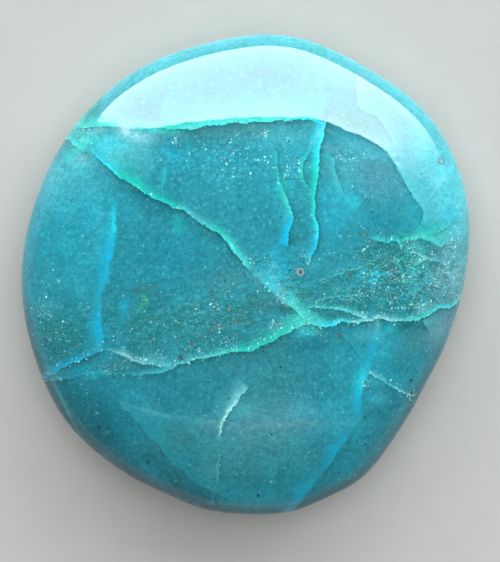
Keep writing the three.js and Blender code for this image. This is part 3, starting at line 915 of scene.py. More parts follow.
def patch_weight(places: np.ndarray, patch: Cloud | Patch) -> np.ndarray:
    """How much of a soft oval patch each place has, from 0 to 1."""
    turn = math.radians(patch.turn)
    offset = places - np.array(patch.centre)
    along = offset[:, 0] * math.cos(turn) + offset[:, 1] * math.sin(turn)
    across = offset[:, 1] * math.cos(turn) - offset[:, 0] * math.sin(turn)
    return np.exp(-np.hypot(along / patch.radii[0], across / patch.radii[1])**PATCH_EDGE)


def most(places: np.ndarray, patches: tuple[Patch, ...]) -> np.ndarray:
    """The most that any of several patches gives each place, from 0 to 1."""
    return np.max([patch.amount * patch_weight(places, patch) for patch in patches], axis=0)


def set_attribute(mesh: bpy.types.Mesh, name: str, values: np.ndarray) -> None:
    """Stores a number, a vector or a colour for each vertex of a mesh.

    Args:
        mesh: The mesh.
        name: Name of the attribute.
        values: One number a vertex, or one row of three or four.
    """
    width = 1 if values.ndim == 1 else values.shape[1]
    kind, key = {1: ("FLOAT", "value"), 3: ("FLOAT_VECTOR", "vector"),
                 4: ("FLOAT_COLOR", "color")}[width]
    attribute = mesh.attributes.new(name, kind, "POINT")
    attribute.data.foreach_set(key, values.astype(np.float32).ravel())


class VeinMap:
    """Where each place on the skin lies among the veins.

    Veins are dealt into layers so that no two in one layer come near each other. Each layer
    holds, for every vertex, the distance from its vein's line, the strength, the glow and
    how crisp the line is.
    """

    LINE_STEP = 0.4       # distance between samples along a line, in mm
    FAR = 9.0             # distance held where no vein comes near, in mm
    PAINTED_SHADE_WIDTH = 1.1     # distance over which a vein's painted shade fades, in mm
    FADE_START = 0.7      # share of a vein's reach at which it starts to fade
    FOLD_REACH = 4.0      # how far a fold is felt, in times its wider side
    GRAIN_MIDDLE = 0.25   # where grains lie thickest, to the left of the line, in mm
    GRAIN_WIDTH = 0.45    # how far to either side of there they spread, in mm

    def __init__(self, places: np.ndarray, depth: np.ndarray) -> None:
        """Starts a map with no veins.

        Args:
            places: Where each vertex lies, seen from above, in mm.
            depth: How far each vertex is under the crown, in mm.
        """
        self.places = places
        self.depth = depth
        self.layers: list[np.ndarray] = []
        self.hue = np.zeros((len(places), 3))
        self.hue_weight = np.full(len(places), 1e-6)
        self.sparkle = np.zeros(len(places))
        # brightness left by the veins' painted shade, 1 where there is none
        self.light = np.ones(len(places))
        self.lines: dict[str, tuple[np.ndarray, np.ndarray, np.ndarray]] = {}

    def add(self, vein: Vein) -> int:
        """Adds a vein to the first layer with room for it.

        Args:
            vein: The vein.

        Returns:
            The layer's place in the list of layers.
        """
        line = spline(vein.points, self.LINE_STEP)
        places = self.places - np.outer(self.depth, vein.dip)
        near = self._near(line, places, vein.reach)
        distance, along = measure_to_line(places[near], line)
        ends = self._ends(line, along, vein.taper)
        start = self.FADE_START * vein.reach
        edge = 1.0 - smoothstep(np.abs(distance), start, vein.reach)
        strength = spread(vein.strength, along) * ends * edge
        shown = strength > 0.0
        near, distance, strength, along = (
            values[shown] for values in (near, distance, strength, along))
        layer = self._layer_with_room(near)
        glow = spread(vein.glow, along)
        crisp = np.full(len(near), vein.crisp)
        self.layers[layer][near] = np.column_stack([distance, strength, glow, crisp])
        self._tint(vein, near, distance, strength, along)
        self.lines[vein.name] = (near, distance, strength)
        return layer

    def _layer_with_room(self, rows: np.ndarray) -> int:
        """Finds, or adds, the first layer where none of these vertices is taken."""
        for index, layer in enumerate(self.layers):
            if not np.any(layer[rows, 1] > 0.0):
                return index
        empty = np.ones((len(self.places), 4))
        empty[:, 0] = self.FAR
        empty[:, 1] = 0.0
        self.layers.append(empty)
        return len(self.layers) - 1

    def _tint(self, vein: Vein, rows: np.ndarray, distance: np.ndarray, strength: np.ndarray,
              along: np.ndarray) -> None:
        """Adds a vein's colours, sparkle and painted shade to the vertices near it."""
        weight = strength * np.exp(-np.abs(distance) / (0.4 + 0.5 * max(vein.glow)))
        hues = spread(tuple(hue.value for hue in vein.hues), along)
        self.hue[rows] += weight[:, None] * hues
        self.hue_weight[rows] += weight
        beside = (distance - self.GRAIN_MIDDLE) / self.GRAIN_WIDTH
        grains_and_glints = vein.sparkle * strength * np.exp(-beside**2)
        self.sparkle[rows] = np.maximum(self.sparkle[rows], grains_and_glints)
        # painted shade just to the right of the line
        side = 1.0 - smoothstep(distance, -0.1, 0.8)
        shade = vein.painted_shade * strength * side * np.exp(np.minimum(distance, 0.0) / self.PAINTED_SHADE_WIDTH)
        self.light[rows] *= 1.0 - shade

    def tint(self) -> np.ndarray:
        """Colour of the veins at each vertex, mixed by how near they are."""
        return self.hue / self.hue_weight[:, None]

    def relief(self) -> np.ndarray:
        """Height of the ridges and grooves at each vertex, in mm."""
        height = np.zeros(len(self.places))
        for relief in RELIEFS:
            rows, distance, strength = self.lines[relief.vein]
            width = np.where(distance > 0.0, relief.left, relief.right)
            height[rows] += relief.height * strength * np.exp(-np.abs(distance) / width)
        for fold in FOLDS:
            line = spline(fold.points, self.LINE_STEP)
            reach = self.FOLD_REACH * max(fold.left, fold.right)
            rows = self._near(line, self.places, reach)
            distance, along = measure_to_line(self.places[rows], line)
            width = np.where(distance > 0.0, fold.left, fold.right)
            crest = spread(fold.heights, along) * self._ends(line, along, fold.taper)
            height[rows] += crest * np.exp(-np.abs(distance) / width)
        return height

    @staticmethod
    def _near(line: np.ndarray, places: np.ndarray, reach: float) -> np.ndarray:
        """Finds the places within reach of the box around a line."""
        low, high = line.min(axis=0) - reach, line.max(axis=0) + reach
        return np.flatnonzero(np.all((places > low) & (places < high), axis=1))

    @staticmethod
    def _ends(line: np.ndarray, along: np.ndarray, taper: Place) -> np.ndarray:
        """Rises from 0 at a line's start, and falls to 0 at its end, over its tapers."""
        length = float(np.linalg.norm(np.diff(line, axis=0), axis=1).sum())
        rise = smoothstep(along * length, 0.0, taper[0])
        return rise * smoothstep((1.0 - along) * length, 0.0, taper[1])


@dataclass
class StoneSkin:
    """The stone's whole surface, as one closed mesh of even faces on the framed solid.

    Attributes:
        name: Name of the piece.
        cuts: Cuts along each edge of the block that it is rounded from.
        levels: Times that its faces are then divided in four.
        target_levels: Times that the framed solid's faces are divided to smooth them.
        relax: Strength of the last even-out of the faces.
        crown: Height of the dome above the girdle, in mm.
        girdle: Height of the girdle above the base, in mm.
        belly: Depth of the underside's dome below the girdle, in mm.
        crystal_height: Height of the rough crystal grains where the stone is open, in mm.
        lift: Height kept between the base and the floor, in mm.
        loose_cloud: Half width from which a cloud takes the full drift, in mm.
    """

    name: str = "polished_stone_skin"
    cuts: int = 15
    levels: int = 3
    target_levels: int = 2
    relax: float = 0.3
    crown: float = 9.4
    girdle: float = 8.6
    belly: float = 9.5
    crystal_height: float = 0.06
    lift: float = 0.0
    loose_cloud: float = 2.5
    layers: int = field(default=0, init=False)

    RAGGED = ((1.3, 0.22, 3.1), (0.5, 0.10, 8.4))    # shifts of the veins' lines
    OPEN_RAGGED = ((3.0, 1.1, 5.2),)                 # shifts of the open patches
    DRIFT = ((7.0, 1.3, 1.3), (2.2, 0.45, 6.6))      # shifts of the clouds
    CRYSTALS = ((0.7, 1.0, 2.2),)                    # ups and downs of the rough grains
    OPEN_LEAN = (0.1, 0.42)      # sideways shift of the open patches for each mm of depth
    CLOUD_LEAN = (0.2, -0.1)     # sideways shift of the clouds for each mm of depth
    ARC_SAMPLES = 400            # samples along the arc that the rows of faces are spaced on

    def build(self) -> bpy.types.Object:
        """Builds the finished skin with everything that its finish reads.

        Returns:
            The skin, with its place in its mesh.
        """
        skin = self._block()
        self._round(skin)
        self._fit(skin)
        places = self._places(skin)
        veins = self._map_veins(places)
        openness = self._openness(places)
        self._sculpt(skin, places, veins, openness)
        self._dress(skin, places, veins, openness)
        return skin

    def _block(self) -> bpy.types.Object:
        """Adds the block, divides its faces and swells it into a ball."""
        low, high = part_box(NODE)
        bpy.ops.object.select_all(action="DESELECT")
        bpy.ops.mesh.primitive_cube_add(size=high.z - low.z, location=(low + high) / 2)
        skin = bpy.context.object
        skin.name = self.name
        bpy.ops.object.mode_set(mode="EDIT")
        bpy.ops.mesh.select_all(action="SELECT")
        bpy.ops.mesh.subdivide(number_cuts=self.cuts)
        bpy.ops.transform.tosphere(value=1.0)
        bpy.ops.object.mode_set(mode="OBJECT")
        bpy.ops.object.transform_apply(location=True, rotation=True, scale=True)
        return skin

    def _round(self, skin: bpy.types.Object) -> None:
        """Flattens the ball to the stone's size, with its rows of faces evenly spaced.

        Args:
            skin: The ball.
        """
        low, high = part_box(NODE)
        middle = np.array((low + high) / 2)
        half = np.array((high - low) / 2)
        flatness = half[2] / half[:2].mean()
        angles = np.linspace(0.0, math.pi / 2, self.ARC_SAMPLES)
        pace = np.hypot(np.sin(angles), flatness * np.cos(angles))
        arc = np.concatenate([[0.0], np.cumsum((pace[1:] + pace[:-1]) / 2)])
        ball = self._vertices(skin) - middle
        ball /= np.linalg.norm(ball, axis=1)[:, None]
        rise = np.abs(np.arcsin(np.clip(ball[:, 2], -1.0, 1.0))) / (math.pi / 2)
        even = np.interp(rise, arc / arc[-1], angles)
        level = np.maximum(np.hypot(ball[:, 0], ball[:, 1]), 1e-9)
        around = ball[:, :2] / level[:, None] * np.cos(even)[:, None]
        flat = np.column_stack([around, np.sign(ball[:, 2]) * np.sin(even)])
        self._move(skin, middle + flat * half)

    def _fit(self, skin: bpy.types.Object) -> None:
        """Divides the faces and lays them on a smoothed copy of the framed solid."""
        target = self._target()
        divide = skin.modifiers.new("divide", "SUBSURF")
        divide.levels = divide.render_levels = self.levels
        fit = skin.modifiers.new("fit", "SHRINKWRAP")
        fit.wrap_method = "TARGET_PROJECT"
        fit.target = target
        even = skin.modifiers.new("even", "SMOOTH")
        even.factor = self.relax
        even.iterations = 2
        self._apply(skin)
        bpy.data.objects.remove(target)

    def _target(self) -> bpy.types.Object:
        """A merged copy of the framed solid, with its facets smoothed out."""
        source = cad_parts[NODE]
        target = source.copy()
        target.data = source.data.copy()
        target.parent = None
        bpy.context.scene.collection.objects.link(target)
        bpy.ops.object.select_all(action="DESELECT")
        target.select_set(True)
        bpy.context.view_layer.objects.active = target
        bpy.ops.object.mode_set(mode="EDIT")
        bpy.ops.mesh.select_all(action="SELECT")
        bpy.ops.mesh.remove_doubles(threshold=1e-6)
        bpy.ops.mesh.tris_convert_to_quads()
        bpy.ops.object.mode_set(mode="OBJECT")
        divide = target.modifiers.new("divide", "SUBSURF")
        divide.levels = divide.render_levels = self.target_levels
        self._apply(target)
        return target

    @staticmethod
    def _apply(piece: bpy.types.Object) -> None:
        """Applies every modifier of a piece, in order."""
        bpy.ops.object.select_all(action="DESELECT")
        piece.select_set(True)
        bpy.context.view_layer.objects.active = piece
        for modifier in list(piece.modifiers):
            bpy.ops.object.modifier_apply(modifier=modifier.name)

    @staticmethod
    def _vertices(piece: bpy.types.Object) -> np.ndarray:
        """Places of a piece's vertices in metres, one row each."""
        flat = np.zeros(len(piece.data.vertices) * 3, np.float32)
        piece.data.vertices.foreach_get("co", flat)
        return flat.reshape(-1, 3).astype(float)

    @staticmethod
    def _move(piece: bpy.types.Object, places: np.ndarray) -> None:
        """Puts a piece's vertices at places in metres."""
        piece.data.vertices.foreach_set("co", places.astype(np.float32).ravel())
        piece.data.update()

    def _places(self, skin: bpy.types.Object) -> np.ndarray:
        """Places of the skin's vertices in mm, one row each."""
        return self._vertices(skin) / MM

    def _depth(self, places: np.ndarray) -> np.ndarray:
        """How far each place is under the crown, in mm: 0 on the whole crown."""
        drop = np.maximum(self.girdle - places[:, 2], 0.0)
        return drop * (1.0 + self.crown / self.belly)

    def _inward(self, places: np.ndarray) -> np.ndarray:
        """How far in from the rim each place lies, seen from above, in mm."""
        low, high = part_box(NODE)
        above = places[:, 2] - self.girdle
        rise = np.where(above > 0.0, above / self.crown, -above / self.belly)
        level = np.sqrt(1.0 - np.clip(rise, 0.0, 1.0)**2)
        return (1.0 - level) * (high.x - low.x) / 2 / MM

    def _painted_rim_light_share(self, places: np.ndarray, edge: PaintedRimLight) -> np.ndarray:
        """How much of a stretch of painted rim light or shade each place has, from 0 to 1."""
        angle = np.degrees(np.arctan2(places[:, 1], places[:, 0]))
        gap = np.abs((angle - edge.middle + 180.0) % 360.0 - 180.0)
        along = 1.0 - smoothstep(gap, 0.5 * edge.half, edge.half)
        return edge.strength * along * np.exp(-(self._inward(places) / edge.width)**2)

    def _map_veins(self, places: np.ndarray) -> VeinMap:
        """Lays all the veins over the skin, with the small steps of a real crack."""
        ragged = wander_all(places, self.RAGGED)
        veins = VeinMap((places + ragged)[:, :2], self._depth(places))
        for vein in VEINS:
            veins.add(vein)
        self.layers = len(veins.layers)
        log.info("%s: %d veins in %d layers", self.name, len(VEINS), self.layers)
        return veins

    def _openness(self, places: np.ndarray) -> np.ndarray:
        """How open and crystalline the stone is at each place, from 0 to 1."""
        ragged = places + wander_all(places, self.OPEN_RAGGED)
        return most(ragged[:, :2] - np.outer(self._depth(places), self.OPEN_LEAN), OPENINGS)

    def _sculpt(self, skin: bpy.types.Object, places: np.ndarray, veins: VeinMap,
                openness: np.ndarray) -> None:
        """Raises the ridges, cuts the grooves, and roughens the open stretches.

        Args:
            skin: The skin, changed in place.
            places: Its vertices in mm.
            veins: The veins over it.
            openness: How crystalline each vertex is.
        """
        normals = np.zeros(len(places) * 3, np.float32)
        skin.data.vertices.foreach_get("normal", normals)
        crystals = wander_all(places, self.CRYSTALS)[:, 2] * self.crystal_height
        height = veins.relief() + openness**2 * np.minimum(crystals, 0.0)
        moved = places + normals.reshape(-1, 3) * height[:, None]
        moved[:, 2] = np.maximum(moved[:, 2], self.lift)
        self._move(skin, moved * MM)

    def _dress(self, skin: bpy.types.Object, places: np.ndarray, veins: VeinMap,
               openness: np.ndarray) -> None:
        """Stores on the skin's vertices all that its finish reads.

        Args:
            skin: The skin.
            places: Its vertices in mm.
            veins: The veins over it.
            openness: How crystalline each vertex is.
        """
        mesh = skin.data
        for index, layer in enumerate(veins.layers):
            set_attribute(mesh, f"sheet_{index}", layer)
        drift = wander_all(places, self.DRIFT)
        plan = (places + drift)[:, :2] - np.outer(self._depth(places), self.CLOUD_LEAN)
        body = np.tile(np.array(Hue.TEAL.value), (len(places), 1))
        for cloud in CLOUDS:
            loose = min(1.0, min(cloud.radii) / self.loose_cloud)
            share = cloud.strength * patch_weight(plan - (1.0 - loose) * drift[:, :2], cloud)
            self._blend(body, share, cloud.hue)
        # painted rim light and shade, blended into the body colour
        for edge in PAINTED_RIM_LIGHTS:
            self._blend(body, self._painted_rim_light_share(places, edge), edge.hue)
        # painted shade beside the veins
        body *= veins.light[:, None]
        grains_and_glints = np.maximum(veins.sparkle, most(plan, GRAINS_AND_GLINTS))
        opaque = np.ones(len(places))
        set_attribute(mesh, "body_tint", np.column_stack([body, opaque]))
        set_attribute(mesh, "vein_tint", np.column_stack([veins.tint(), opaque]))
        set_attribute(mesh, "grains_and_glints", grains_and_glints)
        set_attribute(mesh, "cotton", most(plan, COTTON))
        set_attribute(mesh, "openness", openness)
        self._mark_flecks(mesh, places)
        mesh.polygons.foreach_set("use_smooth", np.ones(len(mesh.polygons), bool))

    @staticmethod
    def _blend(body: np.ndarray, share: np.ndarray, hue: Hue) -> None:
        """Mixes a share of a hue into each vertex's colour, in place."""
        body += share[:, None] * (np.array(hue.value) - body)

    def _mark_flecks(self, mesh: bpy.types.Mesh, places: np.ndarray) -> None:
        """Stores each vertex's offset from the nearest fleck, in radii, and its colours.

        Args:
            mesh: The skin's mesh.
            places: Its vertices in mm.
        """
        centres = np.array([fleck.place for fleck in FLECKS])
        radii = np.array([fleck.radius for fleck in FLECKS])
        offset = places[:, None, :2] - centres[None]
        nearest = np.linalg.norm(offset, axis=2).argmin(axis=1)
        rows = np.arange(len(places))
        scaled = offset[rows, nearest] / radii[nearest][:, None]
        below = np.where(places[:, 2] < self.girdle, self.belly, 0.0)
        set_attribute(mesh, "fleck", np.column_stack([scaled, below]))
        for name in ("core", "rim"):
            hues = np.array([getattr(fleck, name).value for fleck in FLECKS])[nearest]
            set_attribute(mesh, f"fleck_{name}", np.column_stack([hues, np.ones(len(places))]))


class Graph:
    """Shader nodes of one material or light, with short ways to add and join them."""

    def __init__(self, owner: bpy.types.Material | bpy.types.Light | bpy.types.World) -> None:
        """Starts an empty node tree in a material, a light or the surroundings."""
        owner.use_nodes = True
        self.tree = owner.node_tree
        self.tree.nodes.clear()

    def add(self, kind: str, **settings: object) -> bpy.types.Node:
        """Adds a node and sets its own settings."""
        node = self.tree.nodes.new(kind)
        for name, value in settings.items():
            setattr(node, name, value)
        return node

    def feed(self, socket: Socket, value: Socket | float | tuple) -> None:
        """Joins a socket to an output, or sets its value."""
        if isinstance(value, Socket):
            self.tree.links.new(value, socket)
        else:
            socket.default_value = value

    def math(self, operation: str, first: Socket | float, second: Socket | float = 0.0,
             clamp: bool = False) -> Socket:
        """Works out one sum on two numbers.

        Args:
            operation: Name of the sum.
            first: First number.
            second: Second number, where the sum has one.
            clamp: Whether the answer is held from 0 to 1.

        Returns:
            The answer.
        """
        node = self.add("ShaderNodeMath", operation=operation, use_clamp=clamp)
        self.feed(node.inputs[0], first)
        self.feed(node.inputs[1], second)
        return node.outputs[0]

    def ease(self, value: Socket, low: float, high: float, start: float = 0.0,
             end: float = 1.0) -> Socket:
        """Turns a number smoothly from start at low to end at high."""
        node = self.add("ShaderNodeMapRange", interpolation_type="SMOOTHSTEP")
        for socket, given in zip(node.inputs, (value, low, high, start, end)):
            self.feed(socket, given)
        return node.outputs[0]

    def mix(self, factor: Socket | float, first: Socket | Colour, second: Socket | Colour,
            blend: str = "MIX") -> Socket:
        """Mixes two colours.

        Args:
            factor: How much of the second shows, from 0 to 1.
            first: The colour underneath.
            second: The colour laid over it.
            blend: Name of the way they are mixed.

        Returns:
            The mixed colour.
        """
        node = self.add("ShaderNodeMix", data_type="RGBA", blend_type=blend)
        colours = [given if isinstance(given, Socket) else (*given, 1.0)
                   for given in (first, second)]
        self.feed(node.inputs[0], factor)
        self.feed(node.inputs[6], colours[0])
        self.feed(node.inputs[7], colours[1])
        return node.outputs[2]

    def brighten(self, colour: Socket, amount: Socket) -> Socket:
        """Multiplies a colour by a number."""
        node = self.add("ShaderNodeVectorMath", operation="SCALE")
        self.feed(node.inputs[0], colour)
        self.feed(node.inputs["Scale"], amount)
        return node.outputs[0]

    def attribute(self, name: str) -> bpy.types.Node:
        """Reads an attribute of the mesh."""
        return self.add("ShaderNodeAttribute", attribute_name=name)

    def parts(self, vector: Socket) -> tuple[Socket, Socket, Socket]:
        """Splits a vector into its three numbers."""
        node = self.add("ShaderNodeSeparateXYZ")
        self.feed(node.inputs[0], vector)
        return node.outputs[0], node.outputs[1], node.outputs[2]

    def place_in_mm(self, squeeze: float = 1.0, turn: float = 0.0) -> Socket:
        """The shaded place in the piece's own coordinates, in mm.

        Args:
            squeeze: Scale along X, below 1 for a pattern drawn out along X.
            turn: Angle of that pattern's length from +X, in degrees anticlockwise.

        Returns:
            The place.
        """
        where = self.add("ShaderNodeTexCoord").outputs["Object"]
        turned = self.add("ShaderNodeMapping", vector_type="POINT")
        self.feed(turned.inputs["Vector"], where)
        self.feed(turned.inputs["Rotation"], (0.0, 0.0, -math.radians(turn)))
        scaled = self.add("ShaderNodeMapping", vector_type="POINT")
        self.feed(scaled.inputs["Vector"], turned.outputs[0])
        self.feed(scaled.inputs["Scale"], (squeeze / MM, 1.0 / MM, 1.0 / MM))
        return scaled.outputs[0]

    def swing(self, value: Socket, amount: Socket | float) -> Socket:
        """A factor around 1 that follows a noise around 0.5."""
        return self.math("ADD", 1.0, self.math(
            "MULTIPLY", self.math("SUBTRACT", value, 0.5), amount))

    def product(self, *values: Socket | float) -> Socket:
        """Multiplies numbers together."""
        answer = values[0]
        for value in values[1:]:
            answer = self.math("MULTIPLY", answer, value)
        return answer

    def noise(self, place: Socket, size: float, detail: float = 2.0,
              roughness: float = 0.5, distortion: float = 0.0) -> Socket:
        """Smooth noise around 0.5.

        Args:
            place: Where it is read, in mm.
            size: Size of its waves in mm.
            detail: How many finer waves are added.
            roughness: How strong each finer wave is.
            distortion: How much it swirls.

        Returns:
            The noise.
        """
        node = self.add("ShaderNodeTexNoise")
        self.feed(node.inputs["Vector"], place)
        self.feed(node.inputs["Scale"], 1.0 / size)
        self.feed(node.inputs["Detail"], detail)
        self.feed(node.inputs["Roughness"], roughness)
        self.feed(node.inputs["Distortion"], distortion)
        return node.outputs[0]

    def shaken(self, place: Socket, size: float = 0.125, reach: float = 0.45) -> Socket:
        """A place shifted by fine noise, so that what is read there has ragged edges.

        Args:
            place: The place, in mm.
            size: Size of the noise's waves in mm.
            reach: Largest shift in mm, about.

        Returns:
            The shifted place.
        """
        ragged = self.add("ShaderNodeTexNoise")
        self.feed(ragged.inputs["Vector"], place)
        self.feed(ragged.inputs["Scale"], 1.0 / size)
        self.feed(ragged.inputs["Detail"], 3.0)
        node = self.add("ShaderNodeVectorMath", operation="MULTIPLY_ADD")
        self.feed(node.inputs[0], ragged.outputs["Color"])
        self.feed(node.inputs[1], (reach, reach, reach))
        self.feed(node.inputs[2], place)
        return node.outputs[0]

    def finish(self, shader: bpy.types.Node, kind: str = "Material") -> None:
        """Joins a shader to the output of a material, a light or the surroundings."""
        output = self.add(f"ShaderNodeOutput{kind}")
        self.feed(output.inputs["Surface"], shader.outputs[0])

    def cells(self, place: Socket, size: float) -> tuple[Socket, tuple[Socket, Socket, Socket]]:
        """Scattered cells.

        Args:
            place: Where they are read, in mm.
            size: Distance between their middles in mm, about.

        Returns:
            Distance from the nearest middle in cell sizes, and three random numbers that each
            cell keeps.
        """
        node = self.add("ShaderNodeTexVoronoi")
        self.feed(node.inputs["Vector"], place)
        self.feed(node.inputs["Scale"], 1.0 / size)
        return node.outputs["Distance"], self.parts(node.outputs["Color"])


@dataclass(frozen=True)
class StoneFinish:
    """Polished chalcedony with healed cracks, clouds and quartz grains.

    Attributes:
        layers: How many layers of veins the mesh carries.
        roughness: Roughness of the polish.
        worn_roughness: Roughness added where the stone is open and crystalline.
        refraction: Refractive index of chalcedony.
        translucency: Share of the light that spreads under the polish.
        spread: How far red, green and blue spread there, in mm.
        mottle: Swing in brightness of the broad, the cottony and the finest mottle.
        squeeze: Scale along its length of the pattern where the stone is open.
        lie: Angle of that length from +X, in degrees anticlockwise.
        line_softness: Half the width of a crisp vein's edge, in mm.
        soft_edge: Half the width of a soft vein's edge, in mm.
        rim_width: Width of the bright line at a vein's sharp edge, in mm.
        shade_width: Width of the painted shade outside a vein's sharp edge, in mm.
        shade: How dark that painted shade is, from 0 to 1.
        strand_gap: Distance between the fine strands inside a vein, in mm.
        grain_sizes: Distances between the sites of white grains and their painted glints, in mm.
        pit_shade_gap: Distance between the sites of the painted shade in small pits among them, in
            mm.
    """

    layers: int
    roughness: float = 0.055
    worn_roughness: float = 0.20
    refraction: float = 1.54
    translucency: float = 0.22
    spread: Colour = (0.4, 1.0, 1.2)
    mottle: Colour = (0.58, 0.90, 0.72)
    squeeze: float = 0.42
    lie: float = 8.0
    line_softness: float = 0.05
    soft_edge: float = 0.60
    rim_width: float = 0.14
    shade_width: float = 0.28
    shade: float = 0.55
    strand_gap: float = 0.42
    grain_sizes: tuple[float, ...] = (0.42, 0.29, 0.18)
    pit_shade_gap: float = 0.36

    def material(self) -> bpy.types.Material:
        """Builds the material.

        Returns:
            The material.
        """
        material = bpy.data.materials.new("chrysocolla_polish")
        graph = Graph(material)
        place = graph.place_in_mm()
        openness = graph.attribute("openness").outputs["Fac"]
        body = self._body(graph, place, openness)
        body = self._opened(graph, place, openness, body)
        colour = self._veined(graph, place, body)
        colour, grains_and_glints = self._grained(graph, place, openness, colour)
        colour = self._flecked(graph, place, colour)
        self._surface(graph, place, openness, colour, grains_and_glints)
        return material

    def _body(self, graph: Graph, place: Socket, openness: Socket) -> Socket:
        """Colour of the clouded stone between the veins.

        Args:
            graph: The material's nodes.
            place: The shaded place in mm.
            openness: How open the stone is there.

        Returns:
            The colour.
        """
        base = graph.attribute("body_tint").outputs["Color"]
        soft = graph.attribute("cotton").outputs["Fac"]
        broad = graph.noise(place, 3.2, detail=3.0, roughness=0.55, distortion=0.6)
        cotton = graph.noise(place, 0.55, detail=3.0, roughness=0.62, distortion=0.3)
        grain = graph.noise(place, 0.17, detail=1.0, roughness=0.5)
        restless = graph.math("ADD", 1.0, graph.math(
            "ADD", openness, graph.product(soft, 0.45)))
        light = graph.product(graph.swing(broad, self.mottle[0]),
                              graph.swing(cotton, graph.product(restless, self.mottle[1])),
                              graph.swing(grain, graph.product(restless, self.mottle[2])))
        body = graph.brighten(base, light)
        drift = graph.noise(place, 1.7, detail=4.0, roughness=0.6, distortion=0.8)
        body = graph.mix(graph.ease(drift, 0.52, 0.80, 0.0, 0.40), body, Hue.OCEAN.value)
        body = graph.mix(graph.ease(drift, 0.45, 0.22, 0.0, 0.35), body, Hue.GREY_TEAL.value)
        gap, (chance, _, wide) = graph.cells(place, 0.62)
        puff = graph.product(graph.ease(gap, graph.ease(wide, 0.0, 1.0, 0.30, 0.60), 0.0),
                             graph.ease(chance, 0.35, 0.9))
        puffed = graph.math("ADD", graph.product(soft, 0.32), 0.24)
        body = graph.mix(graph.product(puff, puffed), body, Hue.PALE_SKY.value)
        return graph.mix(graph.ease(cotton, 0.60, 0.80, 0.0, 0.25), body, Hue.PALE_SKY.value)

    def _opened(self, graph: Graph, place: Socket, openness: Socket, body: Socket) -> Socket:
        """Adds the hollows, smudges and pale threads where the stone is open.

        Args:
            graph: The material's nodes.
            place: The shaded place in mm.
            openness: How open the stone is there.
            body: Colour of the clouded stone.

        Returns:
            The colour.
        """
        drawn = graph.place_in_mm(squeeze=self.squeeze, turn=self.lie)
        hollows = graph.noise(drawn, 0.9, detail=4.0, roughness=0.64, distortion=0.9)
        dark = graph.product(openness, graph.ease(hollows, 0.53, 0.42, 0.0, 1.0))
        body = graph.mix(dark, body, Hue.HOLLOW.value)
        blue = graph.product(openness, graph.ease(hollows, 0.53, 0.62, 0.0, 0.65))
        body = graph.mix(blue, body, Hue.SKY.value)
        smudges = graph.noise(place, 1.1, detail=3.0, roughness=0.6)
        dull = graph.product(openness, graph.ease(smudges, 0.52, 0.64, 0.0, 0.75))
        body = graph.mix(dull, body, Hue.UMBER.value)
        streaks = graph.noise(drawn, 0.50, detail=4.0, roughness=0.65, distortion=0.8)
        pale = graph.product(openness, graph.ease(streaks, 0.53, 0.68, 0.0, 0.52))
        body = graph.mix(pale, body, Hue.PALE_SKY.value)
        curls = graph.noise(drawn, 1.9, detail=2.0, roughness=0.5, distortion=1.0)
        wave = graph.math("ABSOLUTE", graph.math("SINE", graph.product(curls, 30.0)))
        thread = graph.product(openness, graph.ease(wave, 0.26, 0.0),
                               graph.ease(smudges, 0.58, 0.42, 0.0, 0.70))
        body = graph.mix(thread, body, Hue.LIGHT_MINT.value)
        shag = graph.noise(place, 0.24, detail=2.0, roughness=0.6, distortion=0.5)
        gaps = graph.product(openness, graph.ease(shag, 0.49, 0.37, 0.0, 0.85))
        body = graph.mix(gaps, body, Hue.HOLLOW.value)
        tufts = graph.product(openness, graph.ease(shag, 0.55, 0.68, 0.0, 0.55))
        return graph.mix(tufts, body, Hue.PALE_SKY.value)

    def _veined(self, graph: Graph, place: Socket, body: Socket) -> Socket:
        """Lays the veins of every layer over the body's colour."""
        wobble = graph.noise(place, 0.40, detail=3.0, roughness=0.65)
        jitter = graph.product(graph.math("SUBTRACT", wobble, 0.5), 0.60)
        tangle = graph.product(graph.noise(place, 1.3, detail=3.0, roughness=0.6), 14.0)
        sheets = [self._sheet(graph, index, jitter, tangle) for index in range(self.layers)]
        glow, rim, shade = sheets[0]
        for sheet in sheets[1:]:
            glow, rim, shade = (graph.math("MAXIMUM", old, new)
                                for old, new in zip((glow, rim, shade), sheet))
        wisps = graph.noise(place, 0.60, detail=3.0, roughness=0.65, distortion=0.5)
        breaks = graph.noise(place, 0.45, detail=2.0, roughness=0.6)
        glow = graph.math("MULTIPLY", glow, graph.ease(wisps, 0.32, 0.60, 0.66, 1.15), clamp=True)
        rim = graph.math("MULTIPLY", rim, graph.ease(breaks, 0.32, 0.62, 0.15, 1.0), clamp=True)
        tint = graph.attribute("vein_tint").outputs["Color"]
        # painted shade on the far side of each vein's sharp edge
        dark = graph.brighten(body, graph.math("SUBTRACT", 1.0, graph.product(shade, self.shade)))
        colour = graph.mix(glow, dark, tint)
        bright = graph.mix(0.06, graph.brighten(tint, 1.35), Hue.WHITE.value)
        return graph.mix(graph.product(rim, 0.75), colour, bright)

